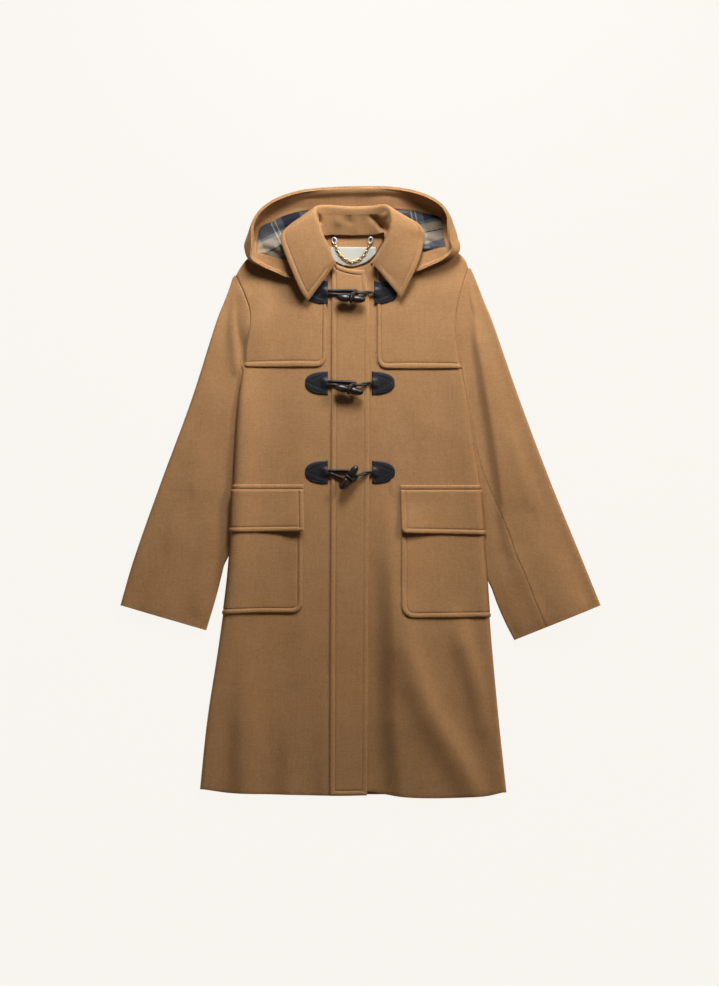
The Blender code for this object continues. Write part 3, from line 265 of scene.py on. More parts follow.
# How much further than the solid's the front's side fold stands up, over the sleeve beside it.
SIDE_LIFT = {
    "right": Table(((-0.535, 0.0), (-0.3, 0.001), (-0.2, 0.0068), (-0.1, 0.0106), (0.15, 0.01),
                    (0.2, 0.004), (0.222, 0.0015), (0.25, 0.003), (0.29, 0.005), (0.335, 0.002),
                    (0.46, 0.0))),
    "left": Table(((-0.535, 0.0), (-0.15, 0.0008), (0.22, 0.0012), (0.345, 0.0002), (0.46, 0.0))),
}
FOLD_ENDS, FOLD_EASE = 0.012, 0.03   # the side fold fades over the ease, from this far above the armpit
PLACKET_COVERS = 0.016       # the left front has no creases from its edge to here, under the placket
SHOULDER_FROM, SHOULDER_EASE = 0.3, 0.04


@functools.cache
def crease_parts(creases):
    """The straight parts of creases, with what crease_height needs of each."""
    parts = []
    for crease in creases:
        for (ax, ay, ah), (bx, by, bh) in zip(crease.line, crease.line[1:]):
            dx, dy = bx - ax, by - ay
            reach = (crease.width, crease.east or crease.width)
            parts.append((ax, ay, ah, dx, dy, bh - ah, dx * dx + dy * dy, reach, id(crease)))
    return parts


def crease_height(creases, x, y):
    """Height that creases add at a place: a soft bump across each line that fades past its ends."""
    nearest = {}
    for ax, ay, ah, dx, dy, dh, square, reach, whose in crease_parts(creases):
        along = min(1.0, max(0.0, ((x - ax) * dx + (y - ay) * dy) / square))
        width = reach[dx * (y - ay) > dy * (x - ax)]
        across = ((x - ax - dx * along) ** 2 + (y - ay - dy * along) ** 2) / (width * width)
        if across < CREASE_END and across < nearest.get(whose, (CREASE_END, 0.0))[0]:
            nearest[whose] = (across, ah + dh * along)
    return sum(height * math.exp(-across) for across, height in nearest.values())


def drape(x, y, seed=0.0):
    """The faint unevenness of cloth that lies loose."""
    return DRAPE_HEIGHT * noise.noise(Vector((x * DRAPE_SCALE, y * DRAPE_SCALE * 0.7, seed)))


@functools.cache
def fold_inset(side, y):
    """From the side edge in to where the upper layer lies level."""
    return (FOLD_LEVEL.at(y) + SIDE_LIFT[side].at(y) - FLOOR_LAYER) / 2 + MELTON / 2


@functools.cache
def level_edge(side, y):
    """Where a front's level part ends at the side fold, or at the armhole above the armpit."""
    if y > ARMPIT_Y:
        return ARMHOLE_X[side].at(min(y, ARMHOLE_POINTS[side][-1][1]))
    return SIDE_X[side].at(y) - OUTWARD[side] * fold_inset(side, y)


def front_height(side, x, y):
    """Middle of a front's upper layer."""
    level = FRONT_LEVEL
    if side == "right":
        level += OVERLAP_LIFT * smooth((x - OVERLAP_FROM) / (OVERLAP_TO - OVERLAP_FROM))
    below = smooth((ARMPIT_Y + FOLD_ENDS - y) / FOLD_EASE)
    lift = SIDE_LIFT[side].at(y)
    edge_level = ARMHOLE_LEVEL + (FOLD_LEVEL.at(min(y, ARMPIT_Y)) - ARMHOLE_LEVEL) * below + lift
    inward = max(0.0, (level_edge(side, y) - x) * OUTWARD[side])
    puff = bell(inward, FOLD_REACH)
    level += (edge_level - FRONT_LEVEL) * puff
    if side == "right" or x > PLACKET_COVERS:
        level += (crease_height(FRONT_CREASES[side], x, y) + drape(x, y)) * (1.0 - puff)
    shoulder = 1.0
    if y > SHOULDER_FROM:
        shoulder = min((x - mark.x) ** 2 + (y - mark.y) ** 2 for mark in SHOULDER_MARKS[side]) ** 0.5
    ease = smooth(shoulder / SHOULDER_EASE)
    return max(SHOULDER_LEVEL, SHOULDER_LEVEL + (level - SHOULDER_LEVEL) * ease)


def on_front(side, x, y, lift):
    """A point over a front, x measured along the cloth where it goes round the side fold."""
    past = (x - level_edge(side, y)) * OUTWARD[side]
    if past <= 0.0 or y > ARMPIT_Y:
        return Vector((x, y, front_height(side, x, y) + lift))
    edge = level_edge(side, y)
    radius = (front_height(side, edge, y) - FLOOR_LAYER) / 2
    angle = past / radius
    out = OUTWARD[side] * (radius + lift)
    return Vector((edge + out * math.sin(angle), y, FLOOR_LAYER + radius + (radius + lift) * math.cos(angle)))


# ======== settings that a user may change
def size_setting(name, about, value, low, high):
    return bpy.props.FloatProperty(
        name=name, description=about, default=value, min=low, max=high, unit="LENGTH",
    )


class CoatSizes(bpy.types.PropertyGroup):
    """Sizes of the sewing and the small parts."""

    welt: size_setting("Welt", "From a finished edge to its row of stitches", 0.0088, 0.003, 0.02)
    welt_height: size_setting("Welt height", "How far the turned edge stands up", 0.001, 0.0, 0.003)
    stitch: size_setting("Stitch", "Length of one stitch", 0.0036, 0.001, 0.01)
    thread: size_setting("Thread", "Radius of the sewing thread", 0.00042, 0.0001, 0.002)
    check: size_setting("Check", "Repeat of the lining's check", 0.132, 0.01, 0.4)
    strand: size_setting("Strand", "Radius of one strand of a toggle's cord", 0.0018, 0.0005, 0.003)


def colour_setting(name, about, value):
    return bpy.props.FloatVectorProperty(
        name=name, description=about, subtype="COLOR", size=3, min=0.0, max=1.0, default=value,
    )


class CoatColours(bpy.types.PropertyGroup):
    """Colours of the coat's finishes, as linear values."""

    melton: colour_setting("Melton", "Coat cloth", (0.42, 0.229, 0.101))
    melton_shade: colour_setting("Melton shade", "Darker fibres in the coat cloth", (0.315, 0.16, 0.063))
    lining_ground: colour_setting("Lining ground", "Ground of the check", (0.15, 0.15, 0.145))
    lining_navy: colour_setting("Lining navy", "Dark bands of the check", (0.012, 0.016, 0.03))
    lining_sand: colour_setting("Lining sand", "Pale bands of the check", (0.43, 0.33, 0.2))
    lining_line: colour_setting("Lining line", "Thin lines of the check", (0.62, 0.6, 0.54))
    leather: colour_setting("Leather", "Patches of the fastenings", (0.0075, 0.0073, 0.01))
    cord: colour_setting("Cord", "Leather cord", (0.012, 0.0085, 0.008))
    horn: colour_setting("Horn", "Toggles", (0.012, 0.0085, 0.007))
    horn_streak: colour_setting("Horn streak", "Pale streaks in the toggles", (0.16, 0.1, 0.055))
    label: colour_setting("Label", "Bare woven label", (0.47, 0.455, 0.39))
    brass: colour_setting("Brass", "Hanging chain", (0.72, 0.56, 0.27))
    steel: colour_setting("Steel", "Rings of the hanging chain", (0.9, 0.9, 0.89))
    floor: colour_setting("Floor", "Floor under the coat", (0.945, 0.92, 0.875))


def sizes():
    return bpy.context.scene.coat_sizes


def colours():
    return bpy.context.scene.coat_colours


# ======== finishes
class Value:
    """A shader value that sums and products take."""

    def __init__(self, finish, socket):
        self.finish, self.socket = finish, socket

    def __add__(self, other):
        return self.finish.maths("ADD", self, other)

    def __sub__(self, other):
        return self.finish.maths("SUBTRACT", self, other)

    def __rsub__(self, other):
        return self.finish.maths("SUBTRACT", other, self)

    def __mul__(self, other):
        return self.finish.maths("MULTIPLY", self, other)

    def __mod__(self, other):
        return self.finish.maths("FLOORED_MODULO", self, other)

    __radd__, __rmul__ = __add__, __mul__


class Finish:
    """A procedural material on one Principled shader."""

    def __init__(self, name, **constants):
        self.material = bpy.data.materials.new(name)
        self.material.use_nodes = True
        self.tree = self.material.node_tree
        self.shader = self.tree.nodes["Principled BSDF"]
        self.feed(self.shader, {key.replace("_", " "): value for key, value in constants.items()})

    def feed(self, node, inputs):
        for name, value in inputs.items():
            if isinstance(value, Value):
                self.tree.links.new(value.socket, node.inputs[name])
            else:
                node.inputs[name].default_value = value

    def node(self, kind, settings, inputs, output=0):
        node = self.tree.nodes.new("ShaderNode" + kind)
        for name, value in settings.items():
            setattr(node, name, value)
        self.feed(node, inputs)
        return Value(self, node.outputs[output])

    def maths(self, operation, *values):
        return self.node("Math", {"operation": operation}, dict(enumerate(values)))

    def place(self, scale=(1.0, 1.0, 1.0), turn=0.0, attribute=None):
        """Where a spot is, from the piece's own coordinates or a named attribute."""
        if attribute:
            spot = self.node("Attribute", {"attribute_name": attribute}, {}, "Vector")
        else:
            spot = self.node("TexCoord", {}, {}, "Object")
        return self.node("Mapping", {}, {"Vector": spot, "Scale": scale, "Rotation": (0.0, 0.0, turn)})

    def noise(self, spot, scale, detail=2.0, rough=0.5):
        return self.node("TexNoise", {}, {"Vector": spot, "Scale": scale, "Detail": detail, "Roughness": rough})

    def worn(self):
        """How near a spot is to a worn edge, 1 on it."""
        return self.node("Attribute", {"attribute_name": "edge"}, {}, "Fac")

    def part(self, spot, axis):
        return self.node("SeparateXYZ", {}, {"Vector": spot}, axis)

    def between(self, value, low, high):
        """0 below low to 1 above high, softly."""
        settings = {"interpolation_type": "SMOOTHSTEP"}
        return self.node("MapRange", settings, {"Value": value, "From Min": low, "From Max": high})

    def stripe(self, value, middle, half, soft):
        """1 on a stripe of a value, 0 off it."""
        away = self.maths("ABSOLUTE", value - middle)
        return 1.0 - self.between(away, half - soft, half + soft)

    def mix(self, share, first, second):
        first, second = (c if isinstance(c, Value) else (*c, 1.0) for c in (first, second))
        return self.node("Mix", {"data_type": "RGBA"}, {0: share, 6: first, 7: second}, 2)

    def done(self, colour, rough, height, depth, strength):
        """The material, with a relief of this height and greatest depth."""
        relief = self.node("Bump", {}, {"Height": height, "Distance": depth, "Strength": strength})
        self.feed(self.shader, {"Base Color": colour, "Roughness": rough, "Normal": relief})
        return self.material


def shaded(tint, factor, added=0.0):
    """A colour made lighter or darker."""
    return [min(1.0, factor * c + added) for c in tint]


@functools.cache
def melton():
    """Milled wool with a nap: fibres two ways, flecks, felting and a trace of the weave."""
    tint = colours()
    finish = Finish(
        "melton", Sheen_Weight=0.22, Sheen_Roughness=0.45, Sheen_Tint=(*tint.melton, 1.0),
        Specular_IOR_Level=0.18,
    )
    spot = finish.place()
    fibres = finish.noise(finish.place(scale=(1.0, 0.32, 1.0), turn=0.25), 1500.0, 3.0, 0.65)
    cross = finish.noise(finish.place(scale=(0.3, 1.0, 1.0), turn=-0.1), 1250.0, 3.0, 0.65)
    fleck = finish.noise(spot, 620.0, 2.0, 0.6)
    felted = finish.noise(spot, 210.0, 4.0, 0.62)
    cloud = finish.noise(spot, 26.0, 3.0, 0.55)
    warp = finish.noise(finish.place(scale=(1.0, 0.05, 1.0)), 420.0, 2.0, 0.6)
    weft = finish.noise(finish.place(scale=(0.05, 1.0, 1.0)), 420.0, 2.0, 0.6)
    share = 0.45 * fibres + 0.3 * fleck + 0.35 * felted + 0.2 * cloud + 0.18 * warp + 0.18 * weft
    colour = finish.mix(finish.between(share, 0.58, 1.02), tint.melton_shade, tint.melton)
    pressed = finish.worn() * finish.between(felted, 0.35, 0.65)
    colour = finish.mix(pressed * 0.45, colour, shaded(tint.melton, 1.16))
    height = 0.55 * fibres + 0.55 * cross + 0.6 * fleck + 0.9 * felted
    return finish.done(colour, 0.86 + 0.1 * felted, height, 0.00055, 0.62)


@functools.cache
def check_lining():
    """A twill check: each way of the yarn has its bands and lines, and the twill shows them by turns."""
    tint = colours()
    finish = Finish("lining_check", Sheen_Weight=0.06, Sheen_Roughness=0.4, Specular_IOR_Level=0.3)
    spot = finish.node("UVMap", {"uv_map": "cloth"}, {})
    threads = []
    for axis, start, navy, sand, line in (
        ("X", 0.085, (0.05, 0.016), (0.1, 0.016), 0.0145),
        ("Y", 0.095, (0.051, 0.01), (0.02, 0.016), 0.088),
    ):
        at = (finish.part(spot, axis) + start) % sizes().check
        yarn = tint.lining_ground
        for middle, half, soft, stripe in (
            (*navy, 0.0004, tint.lining_navy), (*sand, 0.0004, tint.lining_sand),
            (line, 0.0011, 0.0003, tint.lining_line), (line + 0.007, 0.0009, 0.0003, tint.lining_line),
            (sand[0], 0.001, 0.0003, tint.lining_navy),
        ):
            yarn = finish.mix(finish.stripe(at, middle, half, soft), yarn, stripe)
        threads.append(yarn)
    across, along = finish.part(spot, "X"), finish.part(spot, "Y")
    twill = finish.between(((across + along) % 0.0012) * 900.0, 0.44, 0.64)
    colour = finish.mix(0.25 + 0.5 * twill, *threads)
    slub = finish.noise(spot, 900.0, 2.0, 0.5)
    colour = finish.mix(0.42 * slub, colour, tint.lining_navy)
    return finish.done(colour, 0.72 + 0.12 * slub, 0.6 * twill + 0.7 * slub, 0.0002, 0.5)


@functools.cache
def woven_label():
    """A bare ribbed weave."""
    tint = colours().label
    finish = Finish("label_weave", Sheen_Weight=0.1, Specular_IOR_Level=0.4)
    spot = finish.place()
    rib = finish.maths("SINE", finish.part(spot, "Y") * 9000.0)
    warp = finish.maths("SINE", finish.part(spot, "X") * 5200.0)
    slub = finish.noise(spot, 700.0, 2.0, 0.5)
    colour = finish.mix(0.35 * slub + 0.1 * rib, tint, shaded(tint, 0.86))
    colour = finish.mix(finish.worn() * 0.6, colour, shaded(tint, 1.12))
    return finish.done(colour, 0.6 + 0.15 * slub, rib * 0.4 + warp * 0.25 + slub, 0.00012, 0.6)


@functools.cache
def dark_leather():
    """Grained leather, scuffed at its edges."""
    tint = colours().leather
    finish = Finish("patch_leather", Specular_IOR_Level=0.4)
    spot = finish.place()
    pores = finish.node(
        "TexVoronoi", {"feature": "DISTANCE_TO_EDGE"}, {"Vector": spot, "Scale": 850.0}, "Distance",
    )
    grain = finish.between(pores, 0.0, 0.22)
    wrinkle = finish.noise(spot, 260.0, 4.0, 0.6)
    scuff = finish.worn() * finish.between(finish.noise(spot, 480.0, 3.0, 0.7), 0.42, 0.7)
    colour = finish.mix(0.35 * wrinkle, tint, shaded(tint, 2.2))
    colour = finish.mix(scuff * 0.75, colour, shaded(tint, 4.2, 0.012))
    rough = 0.36 + 0.18 * wrinkle + 0.12 * scuff
    return finish.done(colour, rough, 0.7 * grain + 0.6 * wrinkle, 0.00016, 0.7)


@functools.cache
def leather_cord():
    """Cord cut from leather, rubbed in places."""
    tint = colours().cord
    finish = Finish("cord_leather", Specular_IOR_Level=0.4)
    spot = finish.place()
    grain = finish.noise(spot, 800.0, 3.0, 0.6)
    rub = finish.between(finish.noise(spot, 170.0, 3.0, 0.6), 0.48, 0.7)
    colour = finish.mix(0.6 * rub, tint, shaded(tint, 3.0, 0.006))
    return finish.done(colour, 0.34 + 0.22 * grain, grain, 0.00018, 0.7)


@functools.cache
def horn():
    """Polished horn with pale streaks along its layers."""
    tint = colours()
    finish = Finish("toggle_horn", Specular_IOR_Level=0.45, Coat_Weight=0.12, Coat_Roughness=0.25)
    layers = finish.noise(finish.place(scale=(1.0, 1.0, 0.1), attribute="grain"), 330.0, 4.0, 0.62)
    cloud = finish.noise(finish.place(scale=(1.0, 1.0, 0.35), attribute="grain"), 90.0, 2.0, 0.5)
    streak = finish.between(layers, 0.52, 0.72) * finish.between(cloud, 0.4, 0.66)
    colour = finish.mix(streak * 0.8, tint.horn, tint.horn_streak)
    return finish.done(colour, 0.24 + 0.2 * layers, layers, 0.00022, 0.5)


def metal(name, tint, rough):
    """A metal with smears and fine scratches."""
    finish = Finish(name, Metallic=0.85)
    smear = finish.noise(finish.place(), 420.0, 3.0, 0.6)
    scratch = finish.noise(finish.place(scale=(1.0, 0.12, 1.0), turn=0.5), 1800.0, 2.0, 0.6)
    colour = finish.mix(0.35 * smear, tint, shaded(tint, 0.55))
    return finish.done(colour, rough + 0.18 * smear, scratch, 0.00005, 0.5)


@functools.cache
def brass():
    return metal("chain_brass", colours().brass, 0.22)


@functools.cache
def steel():
    return metal("ring_steel", colours().steel, 0.3)


def twisted(finish, tint, shade, shade_share, rough, uneven):
    """Sewing thread, whose plies are twisted together."""
    twist = finish.noise(finish.place(), 1600.0, 2.0, 0.5)
    return finish.done(finish.mix(shade_share * twist, tint, shade), rough + uneven * twist, twist, 0.0001, 0.6)


@functools.cache
def camel_thread():
    tint = shaded(colours().melton, 0.92)
    finish = Finish("camel_thread", Sheen_Weight=0.2, Specular_IOR_Level=0.35)
    return twisted(finish, tint, shaded(tint, 0.72), 0.5, 0.66, 0.14)


@functools.cache
def dark_thread():
    finish = Finish("dark_thread", Specular_IOR_Level=0.5)
    return twisted(finish, (0.06, 0.066, 0.085), (0.028, 0.032, 0.044), 0.6, 0.5, 0.15)


FLOOR_EVEN, FLOOR_GLOW = 0.98, 1.006   # share of the floor that glows evenly, and how bright it glows


def floor_finish():
    """A pale floor that stays even."""
    tint = (*colours().floor, 1.0)
    finish = Finish("floor", Base_Color=tint, Roughness=0.9, Specular_IOR_Level=0.1)
    glow = finish.node("Emission", {}, {"Color": tint, "Strength": FLOOR_GLOW})
    surface = Value(finish, finish.shader.outputs[0])
    both = finish.node("MixShader", {}, {0: FLOOR_EVEN, 1: surface, 2: glow})
    output = finish.tree.nodes["Material Output"]
    finish.tree.links.new(both.socket, output.inputs["Surface"])
    return finish.material


# ======== making pieces
def finished(name, mesh, made_of, *nodes, slot=None):
    """A piece of the coat: it rides on the coat's one body and stands for its CAD nodes."""
    for polygon in mesh.polygons:
        polygon.use_smooth = True
    mesh.materials.clear()
    mesh.materials.append(made_of)
    piece = bpy.data.objects.new(name, mesh)
    bpy.context.scene.collection.objects.link(piece)
    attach(piece, "root")
    if nodes:
        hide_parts(*nodes)
    return piece


def mesh_of(name, bm):
    """The mesh that a bmesh becomes, which is freed."""
    mesh = bpy.data.meshes.new(name)
    bm.to_mesh(mesh)
    bm.free()
    return mesh


def grid(columns, rows, place):
    """A grid of cells with each point moved to place(column, row), which gives a point, how near
    a worn edge it is, and its place on the flat cloth. A point for which it gives None goes."""
    bm = bmesh.new()
    edge = bm.verts.layers.float.new("edge")
    row_of, column_of = bm.verts.layers.int.new("row"), bm.verts.layers.int.new("column")
    bmesh.ops.create_grid(bm, x_segments=columns, y_segments=rows, size=0.5)
    gone, flat = [], {}
    for vert in bm.verts:
        column, row = round((vert.co.x + 0.5) * columns), round((vert.co.y + 0.5) * rows)
        vert[row_of], vert[column_of] = row, column
        spot = place(column, row)
        if spot is None:
            gone.append(vert)
            continue
        vert.co, vert[edge], flat[vert] = spot
    uv = bm.loops.layers.uv.new("cloth")
    for face in bm.faces:
        for loop in face.loops:
            if loop.vert in flat:
                loop[uv].uv = flat[loop.vert]
    bmesh.ops.delete(bm, geom=gone, context="VERTS")
    bmesh.ops.remove_doubles(bm, verts=bm.verts[:], dist=0.00001)
    bm.normal_update()
    return bm


def turned_up(bm):
    """The sheet with its faces pointing up on the whole."""
    upper = [face for face in bm.faces if face.calc_center_median().z > 0.004] or bm.faces
    if sum(face.normal.z * face.calc_area() for face in upper) < 0:
        bmesh.ops.reverse_faces(bm, faces=bm.faces[:])
    bm.normal_update()
    return bm


def moved_out(bm, distance):
    """A copy of a sheet, moved along its normals."""
    copy = bm.copy()
    copy.normal_update()
    spots = [vert.co + vert.normal * distance for vert in copy.verts]
    for vert, spot in zip(copy.verts, spots):
        vert.co = spot
    copy.normal_update()
    return copy


def cloth(node, bm, thickness, made_of=None, slot="camel_wool", side=0.0):
    """A sheet of cloth with its thickness and a rounded raw edge."""
    name = f"cloth_{node}"
    piece = finished(name, mesh_of(name, bm), made_of or melton(), node, slot=slot)
    wall = piece.modifiers.new("thickness", "SOLIDIFY")
    wall.thickness, wall.offset = thickness, side
    round_ = piece.modifiers.new("rounded edge", "BEVEL")
    round_.width, round_.segments = thickness * 0.36, 2
    round_.limit_method, round_.angle_limit = "ANGLE", math.radians(60)
    return piece


GLOW_REACH = 0.003
ROLL_REACH = 0.0024
GROOVE_HALF, GROOVE_DEPTH = 0.0012, 0.0008
STITCH_PITCH = 1.22          # from one stitch to the next, in lengths of a stitch


def edge_glow(distance):
    """How worn cloth looks at a distance from its finished edge."""
    return math.exp(-distance / GLOW_REACH)


def welt_profile(distance):
    """Height of a turned edge at a distance from it: its roll, then the groove of the stitches."""
    size = sizes()
    roll = smooth(distance / ROLL_REACH) * (1.0 - smooth((distance - 0.6 * size.welt) / (0.4 * size.welt)))
    return size.welt_height * roll - GROOVE_DEPTH * bell(distance - size.welt, GROOVE_HALF)


def run_stitches(bm, points, sink=0.0):
    """Stitches end to end along a line of points."""
    size = sizes()
    line = Line(points)
    count = max(1, int(line.length / (size.stitch * STITCH_PITCH)))
    half = 0.5 * size.stitch / line.length
    for k in range(count):
        middle = (k + 0.5) / count
        start, end = line.at(max(0.0, middle - half)), line.at(min(1.0, middle + half))
        along = end - start
        if along.length < 1e-6:
            continue
        centre = (start + end) / 2 - rise(sink)
        matrix = Matrix.Translation(centre) @ along.to_track_quat("Z", "Y").to_matrix().to_4x4()
        matrix = matrix @ Matrix.Diagonal((size.thread, size.thread, along.length / 2, 1.0))
        bmesh.ops.create_uvsphere(bm, u_segments=6, v_segments=4, radius=1.0, matrix=matrix)


def stitching(name, runs, made_of=None, sink=0.0):
    """Rows of stitches, in the coat's own thread unless another is given."""
    bm = bmesh.new()
    for points in runs:
        run_stitches(bm, points, sink)
    slot = None if made_of else "camel_wool"
    return finished(name, mesh_of(name, bm), made_of or camel_thread(), slot=slot)


# ======== body
FRONT_ROW_SPLIT, FRONT_COLUMN_SPLIT = 10, 7
WRAP_CELLS, ROUND_CELLS = 4, 10


@functools.cache
def side_point(side, row):
    if row <= BODY_ROWS:
        y = HEM_Y[side] + (ARMPIT_Y - HEM_Y[side]) * row / BODY_ROWS
        return Vector((level_edge(side, y), y))
    return ARMHOLE[side].at((row - BODY_ROWS) / CAP_ROWS)


@functools.cache
def centre_point(side, row):
    low, high = CENTRE_ENDS[side]
    if row <= BODY_ROWS:
        y = low + (ARMPIT_Y - low) * row / BODY_ROWS
    else:
        y = ARMPIT_Y + (high - ARMPIT_Y) * (row - BODY_ROWS) / CAP_ROWS
    return Vector((CENTRE_EDGE[side].at(y), y))


@functools.cache
def top_point(side, column):
    if column <= NECK_COLUMN:
        return SHOULDER[side].at(column / NECK_COLUMN)
    return NECK[side].at((column - NECK_COLUMN) / (FRONT_COLUMNS - NECK_COLUMN))


@functools.cache
def hem_point(side, share):
    return HEM[side].at(share)


def coons(bottom, top, first, last, u, v, corners):
    """The place at shares u and v of a patch, from the points of its four edges there."""
    p00, p10, p01, p11 = corners
    ruled = bottom * (1 - v) + top * v + first * (1 - u) + last * u
    return ruled - (p00 * (1 - u) + p10 * u) * (1 - v) - (p01 * (1 - u) + p11 * u) * v


def wrap_width(row):
    """How far a front's cloth goes in under the coat."""
    return WRAP_AT_HEM + (WRAP_AT_ARMPIT - WRAP_AT_HEM) * row / BODY_ROWS


def front_sheet(side):
    """A front from its centre edge over the top, round the side fold and under to the side seam."""
    rows = BODY_ROWS + CAP_ROWS
    under = WRAP_CELLS + ROUND_CELLS
    corners = (HEM[side].points[0], HEM[side].points[-1], SHOULDER[side].points[0], NECK[side].points[-1])

    def place(column, step):
        row = step / FRONT_ROW_SPLIT
        spot = side_point(side, row)
        near_hem = edge_glow(0.004 * step)
        if column < under:
            if row > BODY_ROWS:
                return None
            turn = (under - column) / ROUND_CELLS
            radius = (front_height(side, spot.x, spot.y) - FLOOR_LAYER) / 2
            if turn <= 1.0:
                angle = math.pi * (0.5 - turn)
                out = OUTWARD[side] * radius * math.cos(angle)
                at = Vector((spot.x + out, spot.y, FLOOR_LAYER + radius + radius * math.sin(angle)))
            else:
                share = (WRAP_CELLS - column) / WRAP_CELLS
                at = Vector((spot.x - OUTWARD[side] * wrap_width(row) * share, spot.y, FLOOR_LAYER))
            return at, near_hem, at.xy
        c = (column - under) / FRONT_COLUMN_SPLIT
        u, v = c / FRONT_COLUMNS, row / rows
        flat = coons(hem_point(side, u), top_point(side, c), spot, centre_point(side, row), u, v, corners)
        return at_height(flat, front_height(side, flat.x, flat.y)), near_hem, flat

    columns = FRONT_COLUMNS * FRONT_COLUMN_SPLIT + under
    return turned_up(grid(columns, rows * FRONT_ROW_SPLIT, place))


def back_sheet():
    """The back, flat on the floor."""
    rows, columns = (BODY_ROWS + CAP_ROWS) * 4, 48

    def edge(side, row):
        spot = side_point(side, row)
        inset = wrap_width(row) + SEAM if row <= BODY_ROWS else ARMHOLE_EASE
        return Vector((spot.x - OUTWARD[side] * inset, spot.y))

    def top(u):
        if u <= BACK_SHOULDER:
            return SHOULDER["right"].at(u / BACK_SHOULDER)
        if u >= 1.0 - BACK_SHOULDER:
            return SHOULDER["left"].at((1.0 - u) / BACK_SHOULDER)
        first, last = SHOULDER["right"].points[-1], SHOULDER["left"].points[-1]
        return first.lerp(last, (u - BACK_SHOULDER) / (1.0 - 2 * BACK_SHOULDER))

    first, last = edge("right", 0), edge("left", 0)
    corners = (first, last, SHOULDER["right"].points[0], SHOULDER["left"].points[0])

    def place(column, step):
        u, row = column / columns, step / 4
        hem = first.lerp(last, u) - Vector((0.0, BACK_HEM_SAG * math.sin(math.pi * u)))
        flat = coons(hem, top(u), edge("right", row), edge("left", row), u, step / rows, corners)
        return at_height(flat, FLOOR_LAYER), edge_glow(0.01 * step), flat

    return turned_up(grid(columns, rows, place))


# ======== pieces sewn on the fronts
# Steps across a finished edge, from it inwards, and on to the seam at a piece's far end.
EDGE_STEPS = (0.0, 0.0004, 0.001, 0.0022, 0.0045, 0.0062, 0.0074, 0.0082, 0.0088, 0.0094, 0.0102, 0.0116, 0.014)
SEAM_FROM, SEAM_STEPS = 0.008, (0.0055, 0.0036, 0.0022, 0.001, 0.0)
SEAM_HALF = 0.0028
CELL = 0.005
EDGE_ROUND, EDGE_DROP = 0.0011, 0.62 * BAND


def steps_across(length, near, far, seam=False):
    """Places across a piece, close together at its finished edges and at the seam at its far end."""
    if seam:
        return steps_across(length - SEAM_FROM, near, False) + [length - d for d in SEAM_STEPS]
    half = length / 2 - 0.0002
    first = [d for d in EDGE_STEPS if d < half] if near else [0.0]
    last = [length - d for d in reversed(EDGE_STEPS) if d < half] if far else [length]
    count = max(1, round((last[0] - first[-1]) / CELL))
    return first + even_steps(first[-1], last[0], count)[1:-1] + last


def round_corner(a, b, radius):
    """A place in a square corner moved to where the rounded corner has it."""
    reach = radius + 0.01
    ring, far = min(a, b), max(a, b)
    if ring >= radius or far >= reach:
        return a, b
    bend = radius - ring
    quarter = bend * math.pi / 4
    travel = (far - ring) / (reach - ring) * (reach - radius + quarter)
    if travel < quarter:
        angle = math.pi / 4 - travel / bend
        along, off = radius - bend * math.sin(angle), radius - bend * math.cos(angle)
    else:
        along, off = radius + travel - quarter, ring
    return (along, off) if a >= b else (off, along)


